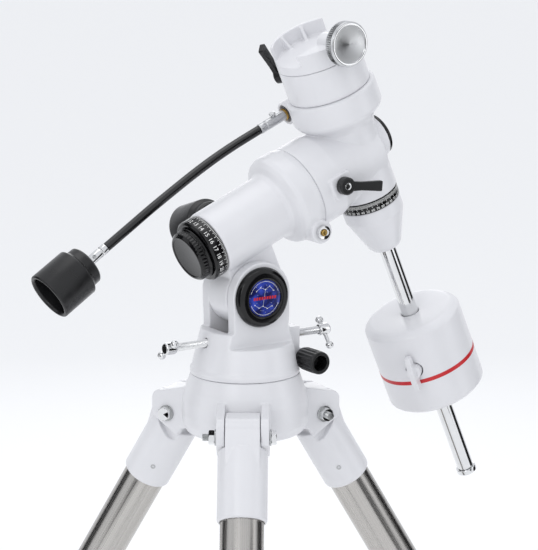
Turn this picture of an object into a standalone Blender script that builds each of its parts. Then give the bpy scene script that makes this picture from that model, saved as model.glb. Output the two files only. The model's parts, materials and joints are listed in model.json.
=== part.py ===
"""German equatorial mount with counterweight, on a folding three-legged tripod.

Helpers take millimetres and degrees, and the objects come out in metres, +Z up.
+X is north, where the polar axis climbs, and +Y is west.
The origin lies on the floor, under the azimuth axis.
"""
import math

import bpy
import bmesh
from mathutils import Matrix, Vector

MM = 0.001

# Gap between pieces that touch.
GAP = 0.3

# Facets round a turned piece, by its size.
FINE = 24
MEDIUM = 16
COARSE = 10

# Main axes, with heights measured from the seam between tripod head and fork.
SEAM_HEIGHT = 718.0
LATITUDE = 23.0
ALTITUDE_HEIGHT = 84.0
AXES_CROSS = (135.8, 0.0, 214.5)
SADDLE_TURN = 2.0

# Turn of the declination clutch lever, whose screw points to the south-west.
DEC_LEVER_TURN = (-90, -114, 35)

# The lock screw points east and south, and its wing lies along the bar.
LOCK_TURN = (90, 90, -48)

# Tripod.
LEG_BEARINGS = (-4.5, 115.5, 235.5)
LEG_SPLAY = 31.5
HINGE_RADIUS = 79.5
HINGE_HEIGHT = -49.5
LEG_INSET = 3.0
EAR_OUTER = 26.8
EAR_INNER = 18.3
TONGUE_HALF = 18.0
SHOULDER = 14.2
SOCKET_RADIUS = 25.5
SOCKET_LENGTH = 89.0
TUBE_RADIUS = 22.25
INNER_TUBE_RADIUS = 19.0
TUBE_START = 31.0
TUBE_END = 640.0
COLLAR_END = 668.0
LEG_LENGTH = 812.0

# Fork.
CHEEK_OUTER = 30.0
CHEEK_INNER = 17.5
THRUST_DROP = 48.0
THRUST_TAIL_RADIUS = 12.0
HUB_SOUTH = -91.0
HUB_NORTH = 98.0
NORTH_SCREW_DROP = 52.0
BAR_SPACING = 41.0
PEG_REACH = 54.0
PEG_SCREW_HEIGHT = 13.0

# Polar axis, with stations measured from where the axes cross.
RA_SEAM = -77.7
RA_FLANGE_RADIUS = 48.5
RA_TUBE_RADIUS = 34.5
RA_TUBE_END = -195.0
POLAR_SHAFT_RADIUS = 16.0
NECK_RADIUS = 46.5
CHAMBER_RADIUS = 36.0
CHAMBER_DEPTH = 25.0
DIAL_SEAT = 20.8
RA_WORM_STATION = -90.5
RA_WORM_OFFSET = 35.4
RA_WORM_RADIUS = 7.2
RA_WHEEL_RADIUS = 27.8

# Declination axis, with stations measured from where the axes cross.
CAP_RISE = 6.0
RA_LEVER_X = -51.0
RA_LEVER_Z = -1.0
DEC_LEVER_STATION = 104.0
DEC_TUBE_RADIUS = 33.0
DEC_RING_RADIUS = 48.0
DEC_SEAM = 78.7
DEC_TUBE_END = -44.0
DEC_SHAFT_RADIUS = 16.0
DEC_WORM_STATION = 62.5
DEC_WORM_OFFSET = 40.0
DEC_WHEEL_RADIUS = 31.2
SADDLE_RADIUS = 44.0
SADDLE_SEAM = 115.0
SADDLE_TOP = 140.5
CHANNEL_FLOOR = 125.0
CLAMP_STATION = 136.0
JAW_HALF = 20.0
RIM = 3.6
RIB_BEARINGS = (68, 104)
CIRCLE_END = -55.7
SHAFT_END = -94.0
CONE_END = -111.0
BAR_RADIUS = 9.0
BAR_END = -399.5
WEIGHT_TOP = -193.0
WEIGHT_LENGTH = 100.0
WEIGHT_RADIUS = 53.0
LOCK_STATION = -236.0

WHEEL_TEETH = 36
TOOTH_DEPTH = 1.0
CABLE_RADIUS = 5.0
FERRULE_RADIUS = 5.6

# Routes of the two flexible shafts, from ferrule to ferrule, in heights over the seam.
DEC_CABLE_ROUTE = (
    (43.5, 40, 243.2),
    (8.0, 40, 227.5),
    (-29.6, 40, 208.2),
    (-79.5, 40, 178.6),
    (-114.6, 40, 156.2),
    (-140.5, 40, 139.6),
)
RA_CABLE_ROUTE = (
    (66.3, 74.6, 146.5),
    (66.3, 95.0, 145.6),
    (66.3, 117.0, 141.4),
    (66.3, 138.0, 134.4),
)


# ---------------------------------------------------------------- scene and finishes

def clear_scene():
    for obj in list(bpy.data.objects):
        bpy.data.objects.remove(obj, do_unlink=True)


def new_collection(name):
    collection = bpy.data.collections.new(name)
    bpy.context.scene.collection.children.link(collection)
    return collection


def new_finish(name, colour, roughness, metallic=0.0):
    finish = bpy.data.materials.new(name)
    finish.use_nodes = True
    shader = finish.node_tree.nodes["Principled BSDF"]
    shader.inputs["Base Color"].default_value = (*colour, 1.0)
    shader.inputs["Roughness"].default_value = roughness
    shader.inputs["Metallic"].default_value = metallic
    finish.diffuse_color = (*colour, 1.0)
    return finish


clear_scene()
PARTS = new_collection("equatorial_mount")
TOOLS = new_collection("cutters_and_joined_shapes")
PAINT = ("white_paint", (0.80, 0.80, 0.81), 0.35, 0.0)
PLASTIC = ("black_plastic", (0.015, 0.015, 0.018), 0.35, 0.0)
CHROME = ("chrome", (0.75, 0.75, 0.75), 0.12, 1.0)
STEEL = ("brushed_steel", (0.60, 0.60, 0.60), 0.30, 1.0)
ALUMINIUM = ("aluminium", (0.78, 0.78, 0.79), 0.25, 1.0)
BRASS = ("brass", (0.72, 0.52, 0.24), 0.30, 1.0)
RUBBER = ("rubber", (0.02, 0.02, 0.02), 0.80, 0.0)


# ---------------------------------------------------------------- frames and placing

def place(obj, parent=None, location=(0, 0, 0), rotation=(0, 0, 0)):
    obj.parent = parent
    obj.location = Vector(location) * MM
    obj.rotation_euler = [math.radians(angle) for angle in rotation]
    return obj


def new_frame(name, parent=None, location=(0, 0, 0), rotation=(0, 0, 0)):
    frame = bpy.data.objects.new(name, None)
    PARTS.objects.link(frame)
    return place(frame, parent, location, rotation)


def new_shape(name, data):
    """A shape starts as a hidden tool, and finish_part makes it a piece."""
    obj = bpy.data.objects.new(name, data)
    TOOLS.objects.link(obj)
    obj.hide_render = True
    obj.display_type = "WIRE"
    return obj


def finish_part(obj, look, parent=None, location=(0, 0, 0), rotation=(0, 0, 0)):
    TOOLS.objects.unlink(obj)
    PARTS.objects.link(obj)
    obj.hide_render = False
    obj.display_type = "TEXTURED"
    name, colour, roughness, metallic = look
    obj.data.materials.clear()
    obj.data.materials.append(new_finish(obj.name + "_" + name, colour, roughness, metallic))
    return place(obj, parent, location, rotation)


# ---------------------------------------------------------------- shapes

def shade(mesh):
    mesh.shade_smooth()
    mesh.set_sharp_from_angle(angle=math.radians(35))


def evaluated_mesh(obj):
    bpy.context.view_layer.update()
    depsgraph = bpy.context.evaluated_depsgraph_get()
    mesh = bpy.data.meshes.new_from_object(obj.evaluated_get(depsgraph))
    bm = bmesh.new()
    bm.from_mesh(mesh)
    bmesh.ops.remove_doubles(bm, verts=bm.verts, dist=0.01 * MM)
    bmesh.ops.dissolve_limit(bm, angle_limit=0.001, verts=bm.verts, edges=bm.edges)
    bm.to_mesh(mesh)
    bm.free()
    shade(mesh)
    return mesh


def solid_from(maker, name):
    """Swap a curve or a profile for the mesh it makes, under the same name."""
    mesh = evaluated_mesh(maker)
    source = maker.data
    is_curve = maker.type == "CURVE"
    bpy.data.objects.remove(maker, do_unlink=True)
    if is_curve:
        bpy.data.curves.remove(source)
    else:
        bpy.data.meshes.remove(source)
    mesh.name = name
    return new_shape(name, mesh)


def turned(name, profile, steps=FINE, ring=False):
    """Turn (radius, height) points, running down the outer side, about Z.

    A ring's profile is a closed loop. Any other profile starts and ends on the axis."""
    bm = bmesh.new()
    points = [bm.verts.new((radius * MM, 0, height * MM)) for radius, height in profile]
    pairs = list(zip(points, points[1:]))
    if ring:
        pairs.append((points[-1], points[0]))
    for pair in pairs:
        bm.edges.new(pair)
    mesh = bpy.data.meshes.new(name + "_profile")
    bm.to_mesh(mesh)
    bm.free()
    obj = new_shape(name + "_profile", mesh)
    screw = obj.modifiers.new("turn", "SCREW")
    screw.steps = steps
    screw.render_steps = steps
    screw.use_merge_vertices = True
    screw.merge_threshold = 0.01 * MM
    return solid_from(obj, name)


def cylinder(name, radius, low, high, steps=COARSE):
    """An upright cylinder, from height low to height high."""
    bm = bmesh.new()
    middle = Matrix.Translation((0, 0, (low + high) / 2 * MM))
    bmesh.ops.create_cone(bm, cap_ends=True, segments=steps, radius1=radius * MM,
                          radius2=radius * MM, depth=(high - low) * MM, matrix=middle)
    mesh = bpy.data.meshes.new(name)
    bm.to_mesh(mesh)
    bm.free()
    shade(mesh)
    return new_shape(name, mesh)


def box(name, low, high):
    bm = bmesh.new()
    bmesh.ops.create_cube(bm, size=1)
    for vert in bm.verts:
        vert.co = [MM * (a + b) / 2 + MM * (b - a) * c for a, b, c in zip(low, high, vert.co)]
    mesh = bpy.data.meshes.new(name)
    bm.to_mesh(mesh)
    bm.free()
    return new_shape(name, mesh)


def prism(name, outline, low, high):
    """A flat outline in X and Y, standing from height low to height high."""
    curve = bpy.data.curves.new(name + "_outline", "CURVE")
    curve.dimensions = "2D"
    curve.fill_mode = "BOTH"
    curve.extrude = (high - low) / 2 * MM
    spline = curve.splines.new("POLY")
    spline.points.add(len(outline) - 1)
    for point, (x, y) in zip(spline.points, outline):
        point.co = (x * MM, y * MM, 0, 1)
    spline.use_cyclic_u = True
    obj = solid_from(new_shape(name + "_outline", curve), name)
    obj.data.transform(Matrix.Translation((0, 0, (low + high) / 2 * MM)))
    return obj


def tube(name, points, radius, resolution=2):
    curve = bpy.data.curves.new(name, "CURVE")
    curve.dimensions = "3D"
    curve.bevel_depth = radius * MM
    curve.bevel_resolution = resolution
    curve.use_fill_caps = True
    spline = curve.splines.new("POLY")
    spline.points.add(len(points) - 1)
    for point, place_mm in zip(spline.points, points):
        point.co = (*(Vector(place_mm) * MM), 1)
    return new_shape(name, curve)


def arc(centre, radius, start, end, count):
    """Points along an arc from angle start to angle end, ends included."""
    points = []
    for index in range(count + 1):
        angle = math.radians(start + (end - start) * index / count)
        points.append((centre[0] + radius * math.cos(angle), centre[1] + radius * math.sin(angle)))
    return points


def smooth_route(points, parts):
    """Catmull-Rom points along a route, with so many parts to each of its spans."""
    route = [Vector(point) for point in points]
    ends = [route[0] * 2 - route[1]] + route + [route[-1] * 2 - route[-2]]
    result = []
    for a, b, c, d in zip(ends, ends[1:], ends[2:], ends[3:]):
        for step in range(parts):
            t = step / parts
            result.append(0.5 * ((2 * b) + (c - a) * t + (2 * a - 5 * b + 4 * c - d) * t ** 2
                                 + (3 * b - a - 3 * c + d) * t ** 3))
    return result + [route[-1]]


def combine(target, operation, tools):
    for tool in tools:
        tool.parent = target
        modifier = target.modifiers.new(tool.name, "BOOLEAN")
        modifier.operation = operation
        modifier.solver = "EXACT"
        modifier.object = tool
    return target


def join(target, *tools):
    return combine(target, "UNION", tools)


def cut(target, *tools):
    return combine(target, "DIFFERENCE", tools)


def round_edges(obj, width, segments=2):
    bevel = obj.modifiers.new("rounded_edges", "BEVEL")
    bevel.width = width * MM
    bevel.segments = segments
    bevel.limit_method = "ANGLE"
    bevel.angle_limit = math.radians(40)
    return obj


def along_y(obj, location=(0, 0, 0)):
    """Lay an upright shape along +Y, in its target's frame."""
    return place(obj, None, location, (-90, 0, 0))


def along_x(obj, location=(0, 0, 0)):
    """Lay an upright shape along +X, in its target's frame."""
    return place(obj, None, location, (0, 90, 0))


# ---------------------------------------------------------------- axes of the mount

POLE_TILT = 90.0 - LATITUDE
seam_frame = new_frame("azimuth_axis", None, (0, 0, SEAM_HEIGHT))
# Z to the east, X to the north, Y up.
altitude_frame = new_frame("altitude_axis", seam_frame, (0, 0, ALTITUDE_HEIGHT), (90, 0, 0))
# Z up the polar axis, X down, Y to the west.
polar_frame = new_frame("polar_axis", seam_frame, AXES_CROSS, (0, POLE_TILT, 0))
# Z up the declination axis, X up the polar axis, Y to the west.
dec_frame = new_frame("declination_axis", seam_frame, AXES_CROSS, (0, -LATITUDE, 0))
saddle_frame = new_frame("saddle_turn", dec_frame, (0, 0, 0), (0, 0, SADDLE_TURN))


# ---------------------------------------------------------------- tripod

EAR_OUTLINE = [(-28, 30), (-18.8, 30), (5.4, 24)] + arc((8.8, 14), 10, 70, 0, 4) + [
    (18.8, -3.7), (-11.4, -23.2), (-16.8, -15), (-28, -13)]


def make_tripod_head():
    head = turned("tripod_head", [
        (56.5, 0), (58.5, -6), (62, -16), (65, -28), (66, -42), (65, -52), (61.5, -60), (59, -62),
        (55, -62), (58, -48), (55, -24), (46, -14), (8.6, -14), (8.6, 0)], ring=True)
    for number, bearing in enumerate(LEG_BEARINGS):
        # An ear's outline is drawn in the leg's radial plane, about the hinge.
        for side in (-1, 1):
            low, high = sorted((side * EAR_INNER, side * EAR_OUTER))
            ear = prism("ear_%d_%s" % (number + 1, "west" if side > 0 else "east"),
                        EAR_OUTLINE, -high, -low)
            turn = Matrix.Rotation(math.radians(bearing), 4, "Z")
            out = turn @ Vector((HINGE_RADIUS, 0, HINGE_HEIGHT))
            join(head, place(ear, None, out, (90, 0, bearing)))
        bore = cylinder("ear_bore_%d" % (number + 1), 4.5, -40, 40)
        cut(head, place(bore, None, out, (90, 0, bearing)))
    peg = cylinder("azimuth_peg", 5, -8, 22)
    join(head, place(peg, None, (PEG_REACH, 0, 0)))
    return finish_part(head, PAINT, seam_frame)


def make_centre_bolt():
    bolt = turned("centre_bolt", [
        (0, 15), (7, 15), (8, 14), (8, -14.6), (20, -14.6), (22, -18), (22, -32), (19, -38),
        (0, -38)], MEDIUM)
    return finish_part(bolt, PLASTIC, seam_frame)


def in_leg(radial, height):
    """Turn a point of the leg's radial plane, about the hinge, into the frame of its tube."""
    splay = math.radians(LEG_SPLAY)
    return (LEG_INSET + radial * math.cos(splay) + height * math.sin(splay),
            height * math.cos(splay) - radial * math.sin(splay))


def make_leg_socket(number, frame):
    socket = turned("leg_socket_%d" % number, [
        (0, -SHOULDER), (SOCKET_RADIUS - 1, -SHOULDER), (SOCKET_RADIUS, -SHOULDER - 1),
        (SOCKET_RADIUS, -SOCKET_LENGTH + 2), (SOCKET_RADIUS - 2, -SOCKET_LENGTH),
        (0, -SOCKET_LENGTH)], MEDIUM)
    tongue_outline = [in_leg(x, y) for x, y in
                      [(-10, 23.5), (5.2, 23.5)] + arc((8.5, 14), 10, 70, 0, 4)]
    tongue_outline += [(SOCKET_RADIUS, -9), (SOCKET_RADIUS - 7, -40), (0, -40)]
    tongue_outline += [in_leg(-10, -26)]
    tongue = prism("tongue_%d" % number, tongue_outline, -TONGUE_HALF, TONGUE_HALF)
    join(socket, place(tongue, None, (0, 0, 0), (90, 0, 0)))
    cut(socket, cylinder("tube_bore_%d" % number, TUBE_RADIUS + GAP, -SOCKET_LENGTH - 10,
                         1 - TUBE_START, MEDIUM))
    for side in (-1, 1):
        # The ears sweep over the inner side of the shoulder as the leg folds.
        sweep = prism("ear_sweep_%d_%d" % (number, side),
                      [(-30, -10), (-30, -24), (-13, -24.5), (8, -SHOULDER), (8, -10)],
                      *sorted((-side * EAR_INNER + side * 0.2, -side * 32)))
        cut(socket, place(sweep, None, (LEG_INSET, 0, 0), (90, 0, 0)))
    bore = cylinder("tongue_bore_%d" % number, 4.5, -30, 30)
    cut(socket, place(bore, None, (LEG_INSET, 0, 0), (90, 0, 0)))
    return finish_part(socket, PAINT, frame)


def make_leg_bolt(number, frame):
    """Hinge bolt along the leg's Y axis: head to +Y, nut and thread end to -Y."""
    face = EAR_OUTER + GAP
    bolt = cylinder("leg_bolt_%d" % number, 4, -41, 33)
    head_washer = cylinder("head_washer_%d" % number, 8.5, face, face + 1.6)
    nut_washer = cylinder("nut_washer_%d" % number, 8.5, -face - 1.6, -face)
    head = cylinder("hex_head_%d" % number, 7.5, face + 1, face + 6.9, 6)
    nut = cylinder("hex_nut_%d" % number, 7.5, -face - 8, -face - 1, 6)
    join(bolt, head_washer, nut_washer, head, nut)
    return finish_part(bolt, STEEL, frame, (0, 0, 0), (-90, 0, 0))


def make_leg_tube(number, frame):
    inner = TUBE_RADIUS - 1.6
    tube_part = turned("leg_tube_%d" % number, [
        (TUBE_RADIUS, -TUBE_START), (TUBE_RADIUS, -TUBE_END), (inner, -TUBE_END),
        (inner, -TUBE_START)],
        MEDIUM, ring=True)
    return finish_part(tube_part, STEEL, frame)


def make_leg_collar(number, frame):
    inner = INNER_TUBE_RADIUS + 0.5
    wide = TUBE_RADIUS + 0.5
    collar = turned("leg_collar_%d" % number, [
        (26, -600), (28, -603), (28, -COLLAR_END + 4), (25, -COLLAR_END), (inner, -COLLAR_END),
        (inner, -TUBE_END - 1), (wide, -TUBE_END - 1), (wide, -600)], MEDIUM, ring=True)
    return finish_part(collar, PLASTIC, frame)


def make_leg_inner(number, frame):
    """Inner tube and rubber shoe, whose sole is flat on the floor."""
    inner = turned("leg_inner_%d" % number, [
        (0, -420), (INNER_TUBE_RADIUS, -420), (INNER_TUBE_RADIUS, -735), (22, -736), (22, -760),
        (15, -785), (15, -LEG_LENGTH), (0, -LEG_LENGTH)], MEDIUM)
    floor = box("floor_trim_%d" % number, (-60, -60, -60), (60, 60, 0))
    cut(inner, floor)
    # The trim lies under the floor plane, level with it.
    frame_height = SEAM_HEIGHT + HINGE_HEIGHT
    splay = math.radians(LEG_SPLAY)
    reach = frame_height * math.tan(splay)
    place(floor, inner, (LEG_INSET + reach * math.cos(splay) - frame_height * math.sin(splay), 0,
                         -frame_height * math.cos(splay) - reach * math.sin(splay)),
          (0, LEG_SPLAY, 0))
    return finish_part(inner, STEEL, frame)


def make_tripod():
    make_tripod_head()
    make_centre_bolt()
    for number, bearing in enumerate(LEG_BEARINGS, 1):
        turn = Matrix.Rotation(math.radians(bearing), 4, "Z")
        hinge = turn @ Vector((HINGE_RADIUS, 0, HINGE_HEIGHT))
        frame = new_frame("leg_hinge_%d" % number, seam_frame, hinge, (0, -LEG_SPLAY, bearing))
        tube_frame = new_frame("leg_axis_%d" % number, frame, (-LEG_INSET, 0, 0))
        make_leg_bolt(number, frame)
        make_leg_socket(number, tube_frame)
        make_leg_tube(number, tube_frame)
        make_leg_collar(number, tube_frame)
        make_leg_inner(number, tube_frame)


# ---------------------------------------------------------------- fork and its screws

def make_mount_base():
    drum_top = 48.0
    step_height = 33.0
    base = turned("mount_base", [
        (0, drum_top), (45, drum_top), (46, drum_top - 1), (56.5, 5), (57, 1.5), (56.5, GAP),
        (0, GAP)])
    for side in (-1, 1):
        low, high = sorted((side * CHEEK_OUTER, side * 70))
        cut(base, box("drum_side_%d" % side, (-70, low, step_height), (70, high, 60)))
    cheek_outline = [(-31, 25 - ALTITUDE_HEIGHT), (34, 25 - ALTITUDE_HEIGHT)] + arc(
        (1.5, 1), 34.5, 0, 180, 14)
    cheeks = prism("cheeks", cheek_outline, -CHEEK_OUTER, CHEEK_OUTER)
    place(cheeks, None, (0, 0, ALTITUDE_HEIGHT), (90, 0, 0))
    block = round_edges(box("north_block", (20, -21.5, GAP), (54.5, 21.5, 45)), 3)
    boss = along_y(cylinder("peg_screw_boss", 8.5, -21.5, 21.5),
                   (PEG_REACH, 0, PEG_SCREW_HEIGHT))
    join(base, cheeks, block, boss)
    slot = box("fork_slot", (-33, -CHEEK_INNER, 20), (36, CHEEK_INNER, 140))
    peg_slot = box("peg_slot", (45, -15.5, -5), (75, 15.5, 24))
    centre = cylinder("centre_bore", 8.6, -5, 17)
    axle_bore = along_y(cylinder("axle_bore", 8.5, -40, 40, MEDIUM), (0, 0, ALTITUDE_HEIGHT))
    south_bore = along_x(cylinder("south_screw_bore", 4.8, -70, 0),
                         (0, 0, ALTITUDE_HEIGHT - THRUST_DROP))
    north_bore = along_x(cylinder("north_screw_bore", 4.8, 0, 70),
                         (0, 0, ALTITUDE_HEIGHT - NORTH_SCREW_DROP))
    screw_bore = along_y(cylinder("peg_screw_bore", 3.8, -40, 40),
                         (PEG_REACH, 0, PEG_SCREW_HEIGHT))
    cut(base, slot, peg_slot, centre, axle_bore, south_bore, north_bore, screw_bore)
    for side in (-1, 1):
        low, high = sorted((side * 21.7, side * 60))
        relief = cylinder("knob_relief_%d" % side, 13.6, low, high, MEDIUM)
        cut(base, along_y(relief, (PEG_REACH, 0, PEG_SCREW_HEIGHT)))
    return finish_part(base, PAINT, seam_frame)


def make_altitude_axle():
    """Bolt through the fork: low head to the east, hexagon nut to the west."""
    axle = cylinder("altitude_axle", 8, -37, 32, MEDIUM)
    head = cylinder("axle_head", 14, CHEEK_OUTER + GAP, 33.2, MEDIUM)
    nut = cylinder("axle_nut", 13, -39, -CHEEK_OUTER - GAP, 6)
    join(axle, head, nut)
    return finish_part(axle, STEEL, altitude_frame)


def make_altitude_cap():
    """Domed bezel over the axle's head, with a shallow recess for its emblem."""
    cap = turned("altitude_cap", [
        (0, 37), (19.3, 37), (19.3, 38.4), (21, 39.3), (26, 38.8), (29.5, 36.6), (31.3, 33),
        (31.5, 30.3), (15, 30.3), (15, 33.8), (0, 33.8)])
    return finish_part(cap, PLASTIC, altitude_frame)


def make_thrust_screw(side, frame):
    """Altitude T-bolt: a pad that stays still, the bolt, and its sliding bar."""
    name = "south" if side < 0 else "north"
    hub = abs(HUB_SOUTH if side < 0 else HUB_NORTH)
    tip = THRUST_TAIL_RADIUS + GAP
    pad = cylinder("thrust_pad_" + name, 4, tip, tip + 8)
    finish_part(pad, BRASS, frame)
    bolt = cylinder("altitude_bolt_" + name, 4.25, tip + 8 + GAP, hub)
    head = cylinder("bolt_hub_" + name, 6.4, hub - 6.5, hub + 6.5)
    bore = along_x(cylinder("bar_bore_" + name, 2.4, -10, 10), (0, 0, hub))
    join(bolt, head)
    cut(bolt, bore)
    finish_part(bolt, CHROME, frame)
    # The bar hangs with its upper ball against the hub.
    bar = cylinder("altitude_bar_" + name, 2, -32, 11, 12)
    join(bar, place(ball("ball_low_" + name, 4.5), None, (0, 0, 11 - BAR_SPACING)))
    join(bar, place(ball("ball_high_" + name, 4.5), None, (0, 0, 11)))
    finish_part(bar, CHROME, frame, (0, 0, hub), (0, 90, 0))


def ball(name, radius):
    bm = bmesh.new()
    bmesh.ops.create_uvsphere(bm, u_segments=8, v_segments=6, radius=radius * MM)
    mesh = bpy.data.meshes.new(name)
    bm.to_mesh(mesh)
    bm.free()
    shade(mesh)
    return new_shape(name, mesh)


def make_peg_screw(side, frame):
    """Azimuth screw: a pad against the peg, and a fluted knob with a hollow end."""
    name = "east" if side < 0 else "west"
    pad = cylinder("azimuth_pad_" + name, 4, 5.5, 9.5)
    finish_part(pad, BRASS, frame)
    knob = turned("azimuth_knob_" + name, [
        (0, 27), (9, 27), (11, 29), (12, 34), (12.2, 52), (11.6, 59), (10.6, 60), (8.4, 60),
        (8, 59), (8, 44), (0, 44)][::-1], MEDIUM)
    screw = cylinder("azimuth_thread_" + name, 3.4, 9.5 + GAP, 36)
    join(knob, screw)
    finish_part(knob, PLASTIC, frame)


def make_fork():
    make_mount_base()
    make_altitude_axle()
    make_altitude_cap()
    # Each screw's frame has Z along the screw, outwards, and the bar hangs along -X.
    south = new_frame("thrust_axis_south", seam_frame, (0, 0, ALTITUDE_HEIGHT - THRUST_DROP))
    south.rotation_euler = thrust_turn((-1, 0, 0), (0, 0.83, -0.55))
    north = new_frame("thrust_axis_north", seam_frame,
                      (0, 0, ALTITUDE_HEIGHT - NORTH_SCREW_DROP))
    north.rotation_euler = thrust_turn((1, 0, 0), (0, -0.64, -0.77))
    make_thrust_screw(-1, south)
    make_thrust_screw(1, north)
    for side in (-1, 1):
        frame = new_frame("peg_screw_axis_" + ("east" if side < 0 else "west"), seam_frame,
                          (PEG_REACH, 0, PEG_SCREW_HEIGHT), (-90 * side, 0, 0))
        make_peg_screw(side, frame)


def thrust_turn(outward, bar_down):
    """Rotation whose Z is outward, and whose -X is the way the bar hangs."""
    z_axis = Vector(outward).normalized()
    x_axis = -Vector(bar_down).normalized()
    y_axis = z_axis.cross(x_axis)
    return Matrix((x_axis, y_axis, z_axis)).transposed().to_euler()


# ---------------------------------------------------------------- worm drives

def make_worm(name, tip_radius, wheel_radius, half_length, exit_at, ferrule_to, frame, location,
              rotation):
    """Worm, its shaft to the outside and the ferrule clamped on the shaft, along Z.

    Its thread keeps step with the wheel's teeth."""
    pitch = 2 * math.pi * (wheel_radius - TOOTH_DEPTH / 2) / WHEEL_TEETH
    rows = 18
    around = 6
    bm = bmesh.new()
    bmesh.ops.create_cone(bm, cap_ends=True, segments=around, radius1=tip_radius * MM,
                          radius2=tip_radius * MM, depth=2 * half_length * MM)
    sides = [edge for edge in bm.edges if abs(edge.verts[0].co.z - edge.verts[1].co.z) > MM]
    bmesh.ops.subdivide_edges(bm, edges=sides, cuts=rows - 1, use_grid_fill=True)
    for vert in bm.verts:
        turn = math.atan2(vert.co.y, vert.co.x) / (2 * math.pi)
        phase = 2 * math.pi * (vert.co.z / MM / pitch - turn)
        radius = tip_radius - TOOTH_DEPTH / 2 + TOOTH_DEPTH / 2 * math.cos(phase)
        flat = Vector((vert.co.x, vert.co.y, 0)).normalized() * radius * MM
        vert.co = (flat.x, flat.y, vert.co.z)
    mesh = bpy.data.meshes.new(name)
    bm.to_mesh(mesh)
    bm.free()
    worm = new_shape(name, mesh)
    shaft = cylinder(name + "_shaft", 4, -half_length - 6, exit_at + 4)
    ferrule = cylinder(name + "_ferrule", FERRULE_RADIUS, exit_at, ferrule_to)
    screw = place(cylinder(name + "_thumb_screw", 3.6, 3, 9.5), None,
                  (0, 0, exit_at + 14), (0, 90, 0))
    join(worm, shaft, ferrule, screw)
    return finish_part(worm, STEEL, frame, location, rotation)


def make_worm_wheel(name, tip_radius, bore_radius, low, high, frame):
    outline = []
    for index in range(WHEEL_TEETH * 2):
        angle = math.pi * index / WHEEL_TEETH
        radius = tip_radius - (TOOTH_DEPTH if index % 2 else 0)
        outline.append((radius * math.cos(angle), radius * math.sin(angle)))
    wheel = prism(name, outline, low, high)
    cut(wheel, cylinder(name + "_bore", bore_radius, low - 5, high + 5, MEDIUM))
    return finish_part(wheel, BRASS, frame)


def make_cable(name, route, frame):
    cable = tube(name, smooth_route(route, 3), CABLE_RADIUS, 2)
    return finish_part(cable, RUBBER, frame)


def make_cable_knob(name, route, frame):
    """Ferrule and hollow cup knob at the end of a flexible shaft, along its end's tangent."""
    end = Vector(route[-1])
    way = (end - Vector(route[-2])).normalized()
    side = Vector((0, 0, 1)).cross(way).normalized()
    turn = Matrix((side, way.cross(side), way)).transposed().to_euler()
    knob = turned(name, [
        (0, 26), (19, 26), (21, 28), (21.5, 37), (26.6, 40), (26.8, 79), (25.5, 81), (23, 81),
        (22.5, 79), (21.5, 46), (0, 46)][::-1], MEDIUM)
    ferrule = cylinder(name + "_ferrule", FERRULE_RADIUS, GAP, 30)
    join(knob, ferrule)
    finish_part(knob, PLASTIC, frame, end)
    knob.rotation_euler = turn
    return knob


# ---------------------------------------------------------------- right ascension

def make_ra_housing():
    """Polar axis housing: tube, worm-wheel cup, worm lobe and the altitude boss."""
    seam = RA_SEAM
    housing = turned("ra_housing", [
        (0, seam - GAP), (NECK_RADIUS, seam - GAP), (NECK_RADIUS + 1, seam - 2),
        (RA_FLANGE_RADIUS, seam - 8),
        (RA_FLANGE_RADIUS, seam - 22), (RA_FLANGE_RADIUS - 2, seam - 27),
        (RA_FLANGE_RADIUS - 6, seam - 30), (RA_TUBE_RADIUS + 2, seam - 33),
        (RA_TUBE_RADIUS, seam - 38), (RA_TUBE_RADIUS, RA_TUBE_END + 3),
        (RA_TUBE_RADIUS - 2, RA_TUBE_END), (DIAL_SEAT, RA_TUBE_END),
        (DIAL_SEAT, RA_TUBE_END - 16), (0, RA_TUBE_END - 16)])
    lobe = place(cylinder("worm_lobe", 12.3, -44, 40, MEDIUM), None,
                 (RA_WORM_OFFSET, 0, RA_WORM_STATION), (-90, 0, 0))
    boss_x, boss_drop = boss_in_polar()
    boss = place(cylinder("altitude_boss", 34, -CHEEK_INNER + GAP, CHEEK_INNER - GAP, FINE), None,
                 (boss_drop, 0, boss_x), (90, 0, 0))
    web = box("boss_web", (20, -CHEEK_INNER + GAP, RA_TUBE_END + 1),
              (boss_drop, CHEEK_INNER - GAP, boss_x + 40))
    join(housing, lobe, boss, web)
    tail = make_thrust_tail()
    join(housing, tail)
    chamber = cylinder("wheel_chamber", CHAMBER_RADIUS, seam - CHAMBER_DEPTH, seam + 10, FINE)
    bore = cylinder("polar_bore", POLAR_SHAFT_RADIUS + 0.6, RA_TUBE_END - 30, seam, FINE)
    worm_bore = place(cylinder("worm_bore", RA_WORM_RADIUS + 1, -30, 42), None,
                      (RA_WORM_OFFSET, 0, RA_WORM_STATION), (-90, 0, 0))
    axle_bore = place(cylinder("boss_bore", 8.5, -40, 40, MEDIUM), None,
                      (boss_drop, 0, boss_x), (90, 0, 0))
    nut_bore = place(cylinder("nut_bore", 5.5, -50, -25), None,
                     (RA_WORM_OFFSET, 0, RA_WORM_STATION), (-90, 0, 0))
    cut(housing, chamber, bore, worm_bore, axle_bore, nut_bore)
    return finish_part(housing, PAINT, polar_frame)


def boss_in_polar():
    """Station along the polar axis, and drop below it, of the altitude axis."""
    tilt = math.radians(LATITUDE)
    x = -AXES_CROSS[0]
    height = ALTITUDE_HEIGHT - AXES_CROSS[2]
    return (x * math.cos(tilt) + height * math.sin(tilt),
            x * math.sin(tilt) - height * math.cos(tilt))


def make_thrust_tail():
    """Tail under the boss, whose round end sits between the altitude T-bolts."""
    station, drop = boss_in_polar()
    outline = arc((0, -THRUST_DROP), THRUST_TAIL_RADIUS, 140, 400, 12) + [
        (8, 12 - THRUST_DROP), (8, 0), (-8, 0), (-8, 12 - THRUST_DROP)]
    tail = prism("thrust_tail", outline, -10, 10)
    # Upright in the world, so it is turned back by the polar axis's tilt.
    return place(tail, None, (drop, 0, station), tail_turn())


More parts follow.
